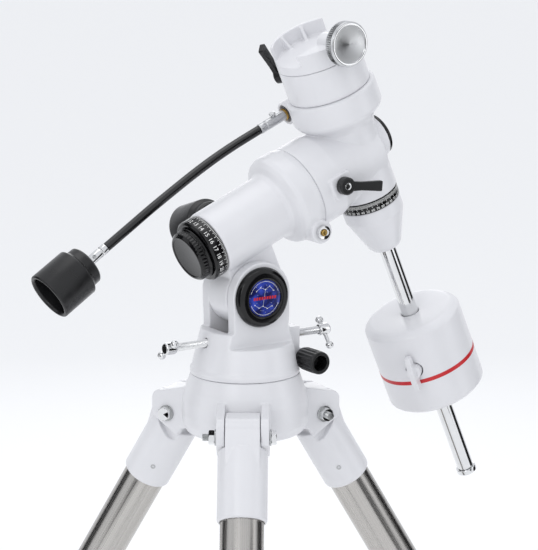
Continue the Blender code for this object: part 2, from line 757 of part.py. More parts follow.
def tail_turn():
    """Turn from the polar frame to one with X north, Y up and Z east."""
    polar = Matrix.Rotation(math.radians(POLE_TILT), 3, "Y")
    upright = Matrix.Rotation(math.radians(90), 3, "X")
    angles = (polar.inverted() @ upright).to_euler()
    return [math.degrees(angle) for angle in angles]


def make_ra_drive():
    make_worm_wheel("ra_wheel", RA_WHEEL_RADIUS, POLAR_SHAFT_RADIUS + 0.6, RA_WORM_STATION - 6,
                    RA_WORM_STATION + 6, polar_frame)
    make_worm("ra_worm", RA_WORM_RADIUS, RA_WHEEL_RADIUS, 15, 41, 74, polar_frame,
              (RA_WORM_OFFSET, 0, RA_WORM_STATION), (-90, 0, 0))
    nut = turned("ra_worm_nut", [
        (0, 49.2), (3, 49.2), (7, 48.5), (7.5, 44.3), (5.2, 44.3), (5.2, 27), (4.9, 22.5),
        (0, 22.5)], MEDIUM)
    finish_part(nut, BRASS, polar_frame, (RA_WORM_OFFSET, 0, RA_WORM_STATION), (90, 0, 0))
    make_cable("ra_cable", RA_CABLE_ROUTE, seam_frame)
    make_cable_knob("ra_cable_knob", RA_CABLE_ROUTE, seam_frame)


def make_polar_fittings():
    end = RA_TUBE_END
    circle = turned("hour_circle", [
        (32.6, end - GAP), (33.4, end - 1), (33.4, end - 14), (31.5, end - 16),
        (DIAL_SEAT + 0.6, end - 16), (DIAL_SEAT + 0.6, end - GAP)], ring=True)
    finish_part(circle, PLASTIC, polar_frame)
    cap = turned("polar_cap", [
        (0, end - 12), (12, end - 12), (12, end - 16.6), (28.5, end - 16.6),
        (28.5, end - 18.5), (26.5, end - 19.5), (27, end - 21), (27, end - 26), (24, end - 29),
        (22, end - 29), (22, end - 28), (0, end - 28)], MEDIUM)
    finish_part(cap, PLASTIC, polar_frame)
    bush = turned("polar_bush", [
        (33, RA_SEAM - 23.5), (33, RA_SEAM - 20.5), (POLAR_SHAFT_RADIUS + 0.7, RA_SEAM - 20.5),
        (POLAR_SHAFT_RADIUS + 0.7, RA_SEAM - 23.5)][::-1], MEDIUM, ring=True)
    finish_part(bush, BRASS, polar_frame)
    shaft = turned("polar_shaft", [
        (POLAR_SHAFT_RADIUS, -42), (POLAR_SHAFT_RADIUS, end - 15), (12.6, end - 15),
        (12.6, -42)],
        MEDIUM, ring=True)
    finish_part(shaft, STEEL, polar_frame)


# ---------------------------------------------------------------- declination

def make_dec_body():
    """T-shaped casting: dec tube, wheel ring above, polar neck and worm lobe."""
    body = turned("dec_body", [
        (0, DEC_SEAM), (DEC_RING_RADIUS - 1.5, DEC_SEAM), (DEC_RING_RADIUS, DEC_SEAM - 2),
        (DEC_RING_RADIUS, DEC_SEAM - 25.7), (DEC_RING_RADIUS - 2, DEC_SEAM - 29.2),
        (DEC_TUBE_RADIUS + 4, DEC_SEAM - 36.7), (DEC_TUBE_RADIUS + 1, DEC_SEAM - 41.7),
        (DEC_TUBE_RADIUS, DEC_SEAM - 52.7), (DEC_TUBE_RADIUS, DEC_TUBE_END), (0, DEC_TUBE_END)])
    neck = place(turned("polar_neck", [
        (0, 20), (33, 20), (37, 0), (40, -22), (43, -35), (NECK_RADIUS, -48), (NECK_RADIUS, RA_SEAM),
        (0, RA_SEAM)]), None, (0, 0, 0), (0, 90, 0))
    north_boss = along_x(cylinder("north_boss", 24, 0, 33.4, FINE), (0, 0, CAP_RISE))
    lobe = along_x(cylinder("dec_worm_lobe", 12.5, -38, 38, MEDIUM),
                   (0, DEC_WORM_OFFSET, DEC_WORM_STATION))
    clutch_boss = round_edges(box("clutch_boss", (-64, -48.5, -13), (-38, 0, 11)), 2)
    join(body, neck, north_boss, lobe, clutch_boss)
    chamber = cylinder("dec_chamber", 34.5, DEC_SEAM - 25.7, DEC_SEAM + 10, FINE)
    bore = cylinder("dec_bore", DEC_SHAFT_RADIUS + 0.6, -60, 60, MEDIUM)
    polar_bore = along_x(cylinder("polar_socket", POLAR_SHAFT_RADIUS + GAP, RA_SEAM - 10, -41.5,
                                  MEDIUM))
    cap_bore = along_x(cylinder("cap_bore", 18.4, 24, 40, MEDIUM), (0, 0, CAP_RISE))
    worm_bore = along_x(cylinder("dec_worm_bore", 9.6, -42, 30),
                        (0, DEC_WORM_OFFSET, DEC_WORM_STATION))
    clutch_bore = along_y(cylinder("clutch_bore", 3.4, -60, -38), (RA_LEVER_X, 0, RA_LEVER_Z))
    cut(body, chamber, bore, polar_bore, cap_bore, worm_bore, clutch_bore)
    return finish_part(body, PAINT, dec_frame)


def make_front_cap():
    cap = turned("front_cap", [
        (0, 38.5), (20, 38.5), (22.5, 37), (23, 35), (23, 33.8), (17.8, 33.8), (17.8, 26),
        (14, 26), (14, 33), (0, 33)])
    return finish_part(cap, PLASTIC, dec_frame, (0, 0, CAP_RISE), (0, 90, 0))


def make_lever(name, reach, frame, location, rotation):
    """Clutch lever: round hub on a screw along Z, arm along +X with a squared end."""
    hub = turned(name, [(0, 9), (7, 9), (9, 7.5), (9.5, 1), (9.5, 0.3), (3, 0.3), (3, -6),
                        (0, -6)], MEDIUM)
    arm = prism(name + "_arm", [(0, -6), (8, -4.6), (reach - 1, -5.6), (reach, -4.6),
                                (reach, 4.6), (reach - 1, 5.6), (8, 4.6), (0, 6)], 2.5, 8)
    join(hub, arm)
    return finish_part(hub, PLASTIC, frame, location, rotation)


def make_dec_drive():
    make_worm_wheel("dec_wheel", DEC_WHEEL_RADIUS, DEC_SHAFT_RADIUS + 0.6,
                    DEC_WORM_STATION - 7, DEC_WORM_STATION + 7, dec_frame)
    make_worm("dec_worm", 8.4, DEC_WHEEL_RADIUS, 14, 38.4, 73.4, dec_frame,
              (0, DEC_WORM_OFFSET, DEC_WORM_STATION), (0, -90, 0))
    make_cable("dec_cable", DEC_CABLE_ROUTE, seam_frame)
    make_cable_knob("dec_cable_knob", DEC_CABLE_ROUTE, seam_frame)


def make_dec_shaft_fittings():
    circle = turned("dec_circle", [
        (32, DEC_TUBE_END - GAP), (32.5, DEC_TUBE_END - 1), (32.5, CIRCLE_END + 0.7),
        (32, CIRCLE_END), (16.8, CIRCLE_END), (16.8, DEC_TUBE_END - GAP)], ring=True)
    finish_part(circle, PLASTIC, dec_frame)
    bush = turned("dec_bush", [
        (30, DEC_SEAM - 23.6), (30, DEC_SEAM - 25.3), (16.7, DEC_SEAM - 25.3),
        (16.7, DEC_SEAM - 23.6)], MEDIUM, ring=True)
    finish_part(bush, BRASS, dec_frame)
    shaft = turned("dec_shaft", [
        (0, DEC_SEAM - 1.7), (DEC_SHAFT_RADIUS, DEC_SEAM - 1.7),
        (DEC_SHAFT_RADIUS, SHAFT_END), (0, SHAFT_END)], MEDIUM)
    finish_part(shaft, STEEL, dec_frame)
    cone = turned("shaft_cone", [
        (31.4, CIRCLE_END - GAP), (32, CIRCLE_END - 1.3), (32, CIRCLE_END - 14),
        (18, CONE_END + 4), (15, CONE_END), (BAR_RADIUS + 0.4, CONE_END),
        (BAR_RADIUS + 0.4, SHAFT_END - 0.4), (DEC_SHAFT_RADIUS + 0.4, SHAFT_END - 0.4),
        (DEC_SHAFT_RADIUS + 0.4, CIRCLE_END - GAP)], ring=True)
    finish_part(cone, PAINT, dec_frame)


# ---------------------------------------------------------------- saddle

def make_saddle_base():
    base = turned("saddle_base", [
        (0, SADDLE_SEAM), (SADDLE_RADIUS - 0.5, SADDLE_SEAM), (SADDLE_RADIUS, SADDLE_SEAM - 1),
        (SADDLE_RADIUS, DEC_SEAM + 2), (SADDLE_RADIUS - 0.5, DEC_SEAM + GAP), (0, DEC_SEAM + GAP)])
    bore = place(cylinder("clutch_thread_bore", 3.4, 30, 60), None, (0, 0, DEC_LEVER_STATION),
                 DEC_LEVER_TURN)
    return finish_part(cut(base, bore), PAINT, dec_frame)


def make_saddle():
    """Round saddle with a dovetail channel, open at both ends, along X."""
    saddle = turned("saddle", [
        (0, SADDLE_TOP), (SADDLE_RADIUS - 1, SADDLE_TOP), (SADDLE_RADIUS, SADDLE_TOP - 1),
        (SADDLE_RADIUS, SADDLE_SEAM + 1), (SADDLE_RADIUS - 0.5, SADDLE_SEAM + GAP),
        (0, SADDLE_SEAM + GAP)])
    jaw_boss = along_y(cylinder("screw_boss", 10, -52, -21, MEDIUM), (0, 0, CLAMP_STATION - 1))
    depth = SADDLE_TOP - CHANNEL_FLOOR + 10
    channel = prism("dovetail_channel", [
        (-JAW_HALF - 3, 0), (0, 0), (0, depth), (-JAW_HALF, depth), (-JAW_HALF, 12),
        (-JAW_HALF - 3, 3)], -60, 60)
    place(channel, None, (0, 0, CHANNEL_FLOOR))
    channel.rotation_euler = Matrix(((0, 0, 1), (1, 0, 0), (0, 1, 0))).to_euler()
    # The west wall is a thin rim, open to the south and the north.
    inside = SADDLE_RADIUS - RIM
    pocket = prism("rim_pocket", [(60, -1), (60, 24)] + arc((0, 0), inside, 38, 142, 10) + [
        (-60, 24), (-60, -1)], CHANNEL_FLOOR, SADDLE_TOP + 10)
    low_jaw = box("low_jaw", (-60, -60, SADDLE_TOP - 4), (60, -JAW_HALF + 1, SADDLE_TOP + 20))
    screw_bore = along_y(cylinder("clamp_bore", 3.8, -60, 0), (0, 0, CLAMP_STATION))
    cut(saddle, channel, pocket, low_jaw)
    join(saddle, jaw_boss)
    for bearing in RIB_BEARINGS:
        join(saddle, make_rib(bearing, inside))
    cut(saddle, screw_bore)
    return finish_part(saddle, PAINT, saddle_frame)


def make_rib(bearing, inside):
    """Gusset standing on the floor against the rim's inner face, sloping up to its top."""
    low = CHANNEL_FLOOR - 1
    rib = prism("rib_%d" % bearing, [(inside - 9, low), (inside + 1, low),
                                     (inside + 1, SADDLE_TOP - 2), (inside - 1, SADDLE_TOP - 2)],
                -1.8, 1.8)
    return place(rib, None, (0, 0, 0), (90, 0, bearing))


def make_clamp_screw():
    """Clamp screw along -Y: its pad faces the channel, its knurled knob is outside."""
    frame = new_frame("clamp_axis", saddle_frame, (0, 0, CLAMP_STATION), (90, 0, 0))
    pad = cylinder("clamp_pad", 3.4, 21.2, 26)
    finish_part(pad, BRASS, frame)
    knob = turned("clamp_knob", [
        (0, 64.3), (19, 64.3), (19.5, 65.3), (22, 65.3), (23.5, 63.8), (23.5, 54.8), (22, 53.6),
        (8, 53.6), (8, 52.6), (3.4, 52.6), (3.4, 26.3), (0, 26.3)])
    finish_part(knob, ALUMINIUM, frame)


# ---------------------------------------------------------------- counterweight

def make_counterweight():
    bar = turned("counterweight_bar", [
        (0, SHAFT_END - 0.8), (BAR_RADIUS, SHAFT_END - 0.8), (BAR_RADIUS, BAR_END + 6.3),
        (4, BAR_END + 6.3),
        (4, BAR_END + 2), (0, BAR_END + 2)], MEDIUM)
    finish_part(bar, CHROME, dec_frame)
    stop = turned("bar_end_stop", [
        (0, BAR_END + 1), (4.4, BAR_END + 1), (4.4, BAR_END + 6), (10.5, BAR_END + 6),
        (11, BAR_END + 5), (11, BAR_END + 1), (10, BAR_END), (0, BAR_END)], MEDIUM)
    finish_part(stop, CHROME, dec_frame)
    top = WEIGHT_TOP
    bottom = WEIGHT_TOP - WEIGHT_LENGTH
    weight = turned("counterweight", [
        (44, top), (47, top - 1), (WEIGHT_RADIUS, top - 6), (WEIGHT_RADIUS, bottom + 6),
        (47, bottom + 1), (44, bottom), (BAR_RADIUS + 0.5, bottom), (BAR_RADIUS + 0.5, top)],
        ring=True)
    bore = place(cylinder("lock_bore", 4.4, 5, 60), None, (0, 0, LOCK_STATION), LOCK_TURN)
    recess = place(cylinder("lock_recess", 9.5, 46, 60), None, (0, 0, LOCK_STATION), LOCK_TURN)
    cut(weight, bore, recess)
    finish_part(weight, PAINT, dec_frame)
    knob = turned("counterweight_knob", [
        (0, 62), (6, 62), (8, 60), (8.5, 47), (4, 46.6), (4, 10.5), (0, 10.5)], MEDIUM)
    wing = prism("lock_wing", [(-20, 55.5), (17, 55.5), (17, 68), (-4, 70), (-20, 64)], -3.2, 3.2)
    join(knob, place(wing, None, (0, 0, 0), (90, 0, 0)))
    finish_part(knob, PAINT, dec_frame, (0, 0, LOCK_STATION), LOCK_TURN)


# ---------------------------------------------------------------- the whole mount

make_tripod()
make_fork()
make_ra_housing()
make_ra_drive()
make_polar_fittings()
make_dec_body()
make_front_cap()
make_lever("ra_clutch", 44, dec_frame, (RA_LEVER_X, -48.8, RA_LEVER_Z), (90, 28, 0))
make_dec_drive()
make_dec_shaft_fittings()
make_saddle_base()
make_saddle()
make_clamp_screw()
make_lever("dec_clutch", 44, dec_frame, (-25.2, 36.0, DEC_LEVER_STATION), DEC_LEVER_TURN)
make_counterweight()
bpy.context.view_layer.update()
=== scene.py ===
"""Finished looks for a German equatorial mount on its folding tripod."""
import json
import math

import bmesh
import bpy
from mathutils import Euler, Matrix, Vector

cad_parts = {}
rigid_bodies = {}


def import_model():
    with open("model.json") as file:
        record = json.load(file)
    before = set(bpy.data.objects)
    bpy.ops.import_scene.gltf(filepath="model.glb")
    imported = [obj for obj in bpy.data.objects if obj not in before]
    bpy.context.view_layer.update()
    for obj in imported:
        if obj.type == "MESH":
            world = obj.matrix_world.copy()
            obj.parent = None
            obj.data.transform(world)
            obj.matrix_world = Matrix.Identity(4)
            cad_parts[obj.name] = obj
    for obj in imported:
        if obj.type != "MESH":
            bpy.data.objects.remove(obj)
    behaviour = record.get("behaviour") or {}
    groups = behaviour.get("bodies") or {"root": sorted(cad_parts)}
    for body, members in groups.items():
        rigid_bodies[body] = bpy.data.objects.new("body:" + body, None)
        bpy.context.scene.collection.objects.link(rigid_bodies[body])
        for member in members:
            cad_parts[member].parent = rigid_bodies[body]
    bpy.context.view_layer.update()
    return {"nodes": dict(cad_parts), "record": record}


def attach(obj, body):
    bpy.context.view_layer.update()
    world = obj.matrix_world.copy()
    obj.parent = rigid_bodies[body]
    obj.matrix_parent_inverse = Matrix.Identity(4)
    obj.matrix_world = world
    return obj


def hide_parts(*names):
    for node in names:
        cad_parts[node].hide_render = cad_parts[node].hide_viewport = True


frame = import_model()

bl_info = {
    "name": "Equatorial mount",
    "version": (1, 0, 0),
    "blender": (4, 5, 0),
    "location": "3D View > Sidebar > Mount",
    "description": "Makes the castings, dials, knobs and finishes of an equatorial mount",
    "category": "Object",
}

MM = 0.001
BODY_OF = {node: body for body, nodes in frame["record"]["behaviour"]["bodies"].items()
           for node in nodes}


# ---------------------------------------------------------------- axes, in millimetres and degrees

def spot(location=(0, 0, 0), rotation=(0, 0, 0)):
    """A place and a turn, in millimetres and degrees, as one matrix."""
    turn = Euler([math.radians(angle) for angle in rotation]).to_matrix().to_4x4()
    return Matrix.Translation(Vector(location) * MM) @ turn


TILT = 23                      # polar axis above the horizon
AXES_MEET = (135.8, 0, 214.5)  # where the polar and declination axes cross, from the seam
ALTITUDE_HEIGHT = 84
LEG_BEARINGS = (-4.5, 115.5, 235.5)
LEG_PIN = (79.5, 0, -49.5)     # a leg's hinge pin, before it is turned to its bearing
SPLAY = 31.5
HOUSING_SEAM = -77.7           # along the polar axis: where the housing meets the dec body
HOUSING_END = -195.0           # and where it meets the hour circle
BODY_SEAM = 78.7               # along the dec axis: where the dec body meets the saddle base
BAR_END = -399.5               # lower end of the counterweight bar

RA_WORM_POINT = (35.4, 0, -90.5)
DEC_WORM_POINT = (0, 40, 62.5)
LOCK_PLACE = ((0, 0, -236), (90, 90, -48))
DEC_CLUTCH_TURN = (-90, -114, 35)
DEC_CLUTCH_STATION = 104

SEAM = spot((0, 0, 718))
ALTITUDE = SEAM @ spot((0, 0, ALTITUDE_HEIGHT), (90, 0, 0))
POLAR = SEAM @ spot(AXES_MEET, (0, 90 - TILT, 0))
DEC = SEAM @ spot(AXES_MEET, (0, -TILT, 0))
SADDLE = DEC @ spot(rotation=(0, 0, 2))
CLAMP = SADDLE @ spot((0, 0, 136), (90, 0, 0))
LOCK = DEC @ spot(*LOCK_PLACE)
RA_WORM = POLAR @ spot(RA_WORM_POINT, (-90, 0, 0))
DEC_WORM = DEC @ spot(DEC_WORM_POINT, (0, -90, 0))

# The flexible shafts' routes from the worm's ferrule to the knob, from the seam.
DEC_CABLE = ((43.5, 40, 243.2), (8.0, 40, 227.5), (-29.6, 40, 208.2), (-79.5, 40, 178.6),
             (-114.6, 40, 156.2), (-140.5, 40, 139.6))
RA_CABLE = ((66.3, 74.6, 146.5), (66.3, 95.0, 145.6), (66.3, 117.0, 141.4),
            (66.3, 138.0, 134.4))


def leg_pin(bearing):
    return Matrix.Rotation(math.radians(bearing), 4, "Z") @ Vector(LEG_PIN)


def leg_hinge(bearing):
    return SEAM @ spot(leg_pin(bearing), (0, -SPLAY, bearing))


# ---------------------------------------------------------------- colours and finishes

def linear(code):
    """Linear light from an sRGB hex colour."""
    parts = [int(code[i:i + 2], 16) / 255 for i in (1, 3, 5)]
    return (*(p / 12.92 if p <= 0.04045 else ((p + 0.055) / 1.055) ** 2.4 for p in parts), 1.0)


def add(material, kind, inputs, **settings):
    """Add a node with its settings, and a value or a link for each named input."""
    node = material.node_tree.nodes.new(kind)
    for setting, value in settings.items():
        setattr(node, setting, value)
    for socket, value in inputs.items():
        if isinstance(value, bpy.types.NodeSocket):
            material.node_tree.links.new(value, node.inputs[socket])
        else:
            node.inputs[socket].default_value = value
    return node


def blank_material(name):
    material = bpy.data.materials.new(name)
    material.use_nodes = True
    material.node_tree.nodes.clear()
    return material


def close_material(material, shader):
    add(material, "ShaderNodeOutputMaterial", {"Surface": shader.outputs[0]})
    return material


def makers_axes(material, on_mesh):
    """The place on a piece in its own axes, which its mesh carries, or in the mount's axes."""
    if on_mesh:
        return add(material, "ShaderNodeAttribute", {},
                   attribute_name="makers_axes").outputs["Vector"]
    return add(material, "ShaderNodeTexCoord", {}).outputs["Object"]


def finish(name, tones, mottle, grain, relief, rough, stretch=(1, 1, 1), on_mesh=True,
           **levels):
    """A surface whose tone and gloss drift over patches of mottle millimetres, with a relief
    of grains of that size and depth in millimetres. Levels go straight on the shader."""
    material = blank_material(name)
    where = makers_axes(material, on_mesh)
    where = add(material, "ShaderNodeMapping", {"Vector": where, "Scale": stretch}).outputs[0]
    patches = add(material, "ShaderNodeTexNoise",
                  {"Vector": where, "Scale": 1000 / mottle, "Detail": 4.0}).outputs[0]
    grains = add(material, "ShaderNodeTexNoise",
                 {"Vector": where, "Scale": 1000 / grain, "Detail": 2.0}).outputs[0]
    tone = add(material, "ShaderNodeMix",
               {0: patches, 6: linear(tones[0]), 7: linear(tones[1])}, data_type="RGBA")
    gloss = add(material, "ShaderNodeMapRange",
                {"Value": patches, "From Min": 0.3, "From Max": 0.7,
                 "To Min": rough[0], "To Max": rough[1]})
    bump = add(material, "ShaderNodeBump", {"Height": grains, "Distance": relief * MM})
    values = {socket.replace("_", " "): value for socket, value in levels.items()}
    shader = add(material, "ShaderNodeBsdfPrincipled",
                 {"Base Color": tone.outputs[2], "Roughness": gloss.outputs[0],
                  "Normal": bump.outputs[0], **values})
    return close_material(material, shader)


def turned_finish(name, tones, groove, rough, on_mesh=True, **levels):
    """Metal with the fine rings that a lathe tool leaves, groove millimetres apart."""
    material = blank_material(name)
    where = makers_axes(material, on_mesh)
    rings = add(material, "ShaderNodeTexWave",
                {"Vector": where, "Scale": math.tau / 20 / (groove * MM), "Distortion": 0.6,
                 "Detail": 2.0, "Detail Scale": 1.5},
                wave_type="RINGS", rings_direction="Z").outputs["Fac"]
    patches = add(material, "ShaderNodeTexNoise",
                  {"Vector": where, "Scale": 1000 / 9, "Detail": 3.0}).outputs[0]
    tone = add(material, "ShaderNodeMix",
               {0: rings, 6: linear(tones[0]), 7: linear(tones[1])}, data_type="RGBA")
    gloss = add(material, "ShaderNodeMapRange",
                {"Value": patches, "To Min": rough[0], "To Max": rough[1]})
    bump = add(material, "ShaderNodeBump", {"Height": rings, "Distance": 0.002 * MM})
    values = {socket.replace("_", " "): value for socket, value in levels.items()}
    shader = add(material, "ShaderNodeBsdfPrincipled",
                 {"Base Color": tone.outputs[2], "Roughness": gloss.outputs[0],
                  "Normal": bump.outputs[0], "Metallic": 1.0, **values})
    if on_mesh:
        around = add(material, "ShaderNodeTangent", {}, direction_type="UV_MAP", uv_map="lathe")
        material.node_tree.links.new(around.outputs[0], shader.inputs["Tangent"])
    return close_material(material, shader)


def star_enamel(name):
    """Vitreous enamel over a stamped disc: deep blue glass with clouds of lighter blue and a
    scatter of white stars, under a hard clear gloss."""
    material = blank_material(name)
    where = makers_axes(material, True)
    clouds = add(material, "ShaderNodeTexNoise",
                 {"Vector": where, "Scale": 1000 / 9, "Detail": 5.0}).outputs[0]
    depth = add(material, "ShaderNodeMapRange",
                {"Value": clouds, "From Min": 0.4, "From Max": 0.66})
    blue = add(material, "ShaderNodeMix",
               {0: depth.outputs[0], 6: linear("#0D1350"), 7: linear("#2F46B4")},
               data_type="RGBA")
    cells = add(material, "ShaderNodeTexVoronoi", {"Vector": where, "Scale": 1000 / 2.6})
    stars = add(material, "ShaderNodeMapRange",
                {"Value": cells.outputs["Distance"], "From Min": 0.07, "From Max": 0.13,
                 "To Min": 1.0, "To Max": 0.0})
    tone = add(material, "ShaderNodeMix",
               {0: stars.outputs[0], 6: blue.outputs[2], 7: linear("#DDE4FA")},
               data_type="RGBA")
    gloss = add(material, "ShaderNodeMapRange",
                {"Value": clouds, "To Min": 0.16, "To Max": 0.28})
    shader = add(material, "ShaderNodeBsdfPrincipled",
                 {"Base Color": tone.outputs[2], "Roughness": gloss.outputs[0],
                  "Coat Weight": 0.8, "Coat Roughness": 0.06})
    return close_material(material, shader)


def make_finishes(looks):
    """Every finish of the mount, by the name of what it really is."""
    return {
        # Sprayed enamel on die-cast aluminium: cool white, a soft broad gloss and the faint
        # dimples of sprayed paint, drawn about three times as wide as life so that they show.
        "enamel": finish("sprayed_white_enamel_on_die_cast_aluminium", ("#DADADD", "#E1E1E4"),
                         40, looks.paint_dimple / MM, 0.03, (0.30, 0.42),
                         Coat_Weight=0.25, Coat_Roughness=0.18),
        # Moulded ABS: deep black with a tight grain, so its highlights are soft at the edge.
        "abs": finish("moulded_black_abs", ("#0B0B0C", "#151517"), 12, 0.7, 0.012,
                      (0.26, 0.38), Specular_IOR_Level=0.5),
        # Polished ABS: the bezel and dial caps come from a polished mould.
        "gloss_abs": finish("polished_black_abs", ("#050506", "#0A0A0C"), 20, 3.0, 0.003,
                            (0.14, 0.22), Specular_IOR_Level=0.35, Coat_Weight=0.15,
                            Coat_Roughness=0.08),
        # Extruded PVC over a wound steel core: wet black shine with a slow waviness.
        "sleeve": finish("extruded_black_pvc_sleeve", ("#060607", "#101012"), 60, 4.0, 0.008,
                         (0.20, 0.26), on_mesh=False, Coat_Weight=0.4, Coat_Roughness=0.12),
        # Nickel-chrome plating: near mirror, with faint haze where it is handled.
        "chrome": finish("plated_nickel_chrome_on_steel", ("#D9DADB", "#ECECEC"), 14, 1.2,
                         0.0008, (0.06, 0.13), Metallic=1.0),
        # Zinc-plated steel hardware: greyer than chrome, and satin.
        "zinc": finish("zinc_plated_rolled_steel", ("#A9ABAC", "#C9CACA"), 5, 0.6, 0.012,
                       (0.22, 0.38), Metallic=1.0),
        # Drawn stainless tube, brushed along its length: long fine streaks, light and dark.
        "tube": finish("brushed_stainless_tube", ("#A9A6A2", "#CFCCC8"), 1.6, 0.8, 0.012,
                       (0.20, 0.32), (1, 1, 0.002), Metallic=1.0),
        # Anodised aluminium faced on a lathe: fine rings that stretch the light into a bow
        # tie. They are drawn about four times as far apart as life so that they show.
        "spun": turned_finish("spun_clear_anodised_aluminium", ("#C9CACB", "#DEDFE0"),
                              looks.spun_groove / MM, (0.24, 0.34), Anisotropic=0.85),
        # The same aluminium as it leaves the knurling wheel: satin and slightly darker.
        "satin": finish("satin_anodised_aluminium", ("#BDBEC0", "#D6D7D8"), 6, 0.5, 0.01,
                        (0.26, 0.40), Metallic=1.0),
        # Free-cutting brass off the lathe: warm yellow, its rings also coarser than life.
        "brass": turned_finish("turned_free_cutting_brass", ("#A88545", "#CDB06C"), 0.8,
                               (0.20, 0.32), Anisotropic=0.3),
        # The same brass and zinc on the enclosed works, laid in the mount's own axes.
        "inner_brass": turned_finish("sawn_free_cutting_brass", ("#A88545", "#CDB06C"), 0.8,
                                     (0.24, 0.36), False),
        "inner_zinc": finish("ground_zinc_plated_steel", ("#A9ABAC", "#C9CACA"), 5, 0.6, 0.012,
                             (0.22, 0.38), on_mesh=False, Metallic=1.0),
        # Moulded nitrile rubber: dull, with a bloom of grey.
        "rubber": finish("moulded_nitrile_rubber", ("#121212", "#242424"), 10, 0.8, 0.06,
                         (0.70, 0.88)),
        # Pad-printed ink on the dials: matt white, a little uneven.
        "ink": finish("pad_printed_white_ink", ("#E4E4E2", "#FAFAF8"), 1.5, 0.6, 0.004,
                      (0.45, 0.60)),
        # Vinyl pinstripe: clear red with a soft shine.
        "stripe": finish("calendered_red_vinyl", ("#B3131C", "#CC2129"), 30, 1.5, 0.006,
                         (0.28, 0.40)),
        "stars": star_enamel("fired_blue_enamel_with_stars"),
    }


FINISHES = {}


# ---------------------------------------------------------------- shapes

def show(name, data):
    obj = bpy.data.objects.new(name, data)
    bpy.context.scene.collection.objects.link(obj)
    return obj


def solid(name, bm):
    mesh = bpy.data.meshes.new(name)
    bmesh.ops.recalc_face_normals(bm, faces=bm.faces)
    bm.to_mesh(mesh)
    bm.free()
    return show(name, mesh)


def rounded(profile, radius, ring=False):
    """The profile with each corner eased by that radius."""
    points = [Vector(point) for point in profile]
    eased = []
    for index, point in enumerate(points):
        if not ring and index in (0, len(points) - 1):
            eased.append(point)
            continue
        before = points[index - 1] - point
        after = points[(index + 1) % len(points)] - point
        reach = min(radius, before.length * 0.4, after.length * 0.4)
        start = point + before.normalized() * reach
        end = point + after.normalized() * reach
        for step in range(4):
            t = step / 3
            eased.append(start * (1 - t) ** 2 + point * 2 * t * (1 - t) + end * t ** 2)
    return eased


def revolve(name, profile, steps=96, ring=False, flutes=0, depth=0, band=(0, 0)):
    """Turn a profile of (radius, height) about Z. Flutes are cut between the band's heights."""
    bm = bmesh.new()
    rows = []
    for radius, height in profile:
        if radius < 1e-6:
            rows.append([bm.verts.new((0, 0, height * MM))])
            continue
        row = []
        for step in range(steps):
            angle = math.tau * step / steps
            cut = 0
            if flutes and band[0] <= height <= band[1]:
                cut = depth * (0.5 - 0.5 * math.cos(flutes * angle))
            reach = (radius - cut) * MM
            row.append(bm.verts.new((reach * math.cos(angle), reach * math.sin(angle),
                                     height * MM)))
        rows.append(row)
    pairs = list(zip(rows, rows[1:])) + ([(rows[-1], rows[0])] if ring else [])
    for upper, lower in pairs:
        for step in range(steps):
            other = (step + 1) % steps
            corners = [upper[step % len(upper)], upper[other % len(upper)],
                       lower[other % len(lower)], lower[step % len(lower)]]
            corners = list(dict.fromkeys(corners))
            if len(corners) > 2:
                bm.faces.new(corners)
    return solid(name, bm)


def cylinder(name, radius, low, high, steps=64):
    return revolve(name, [(0, high), (radius, high), (radius, low), (0, low)], steps)


def prism(name, outline, low, high):
    bm = bmesh.new()
    lower = [bm.verts.new((x * MM, y * MM, low * MM)) for x, y in outline]
    upper = [bm.verts.new((x * MM, y * MM, high * MM)) for x, y in outline]
    bm.faces.new(lower[::-1])
    bm.faces.new(upper)
    for index in range(len(outline)):
        other = (index + 1) % len(outline)
        bm.faces.new((lower[index], lower[other], upper[other], upper[index]))
    return solid(name, bm)


def block(name, low, high):
    outline = [(low[0], low[1]), (high[0], low[1]), (high[0], high[1]), (low[0], high[1])]
    return prism(name, outline, low[2], high[2])


def arc(centre, radius, start, end, count):
    return [(centre[0] + radius * math.cos(math.radians(start + (end - start) * i / count)),
             centre[1] + radius * math.sin(math.radians(start + (end - start) * i / count)))
            for i in range(count + 1)]


def threaded(name, radius, low, high, pitch=1.5, depth=0.75, steps=24):
    """A rod with a screw thread."""
    rows = int((high - low) / pitch * 6)
    bm = bmesh.new()
    grid = []
    for row in range(rows + 1):
        height = low + (high - low) * row / rows
        verts = []
        for step in range(steps):
            phase = (height / pitch - step / steps) % 1
            reach = (radius - depth * abs(2 * phase - 1)) * MM
            angle = math.tau * step / steps
            verts.append(bm.verts.new((reach * math.cos(angle), reach * math.sin(angle),
                                       height * MM)))
        grid.append(verts)
    for upper, lower in zip(grid, grid[1:]):
        for step in range(steps):
            other = (step + 1) % steps
            bm.faces.new((upper[step], upper[other], lower[other], lower[step]))
    bm.faces.new(grid[0])
    bm.faces.new(grid[-1])
    return solid(name, bm)


def put(obj, location=(0, 0, 0), rotation=(0, 0, 0)):
    obj.matrix_world = spot(location, rotation)
    return obj


def settle(obj):
    """Swap the mesh for the one its modifiers make."""
    bpy.context.view_layer.update()
    graph = bpy.context.evaluated_depsgraph_get()
    mesh = bpy.data.meshes.new_from_object(obj.evaluated_get(graph))
    obj.modifiers.clear()
    obj.data = mesh
    return obj


def combine(base, operation, tools):
    for tool in tools:
        modifier = base.modifiers.new(tool.name, "BOOLEAN")
        modifier.operation = operation
        modifier.solver = "EXACT"
        modifier.object = tool
    settle(base)
    for tool in tools:
        bpy.data.objects.remove(tool, do_unlink=True)
    return base


def join(base, *tools):
    return combine(base, "UNION", tools)


def cut(base, *tools):
    return combine(base, "DIFFERENCE", tools)


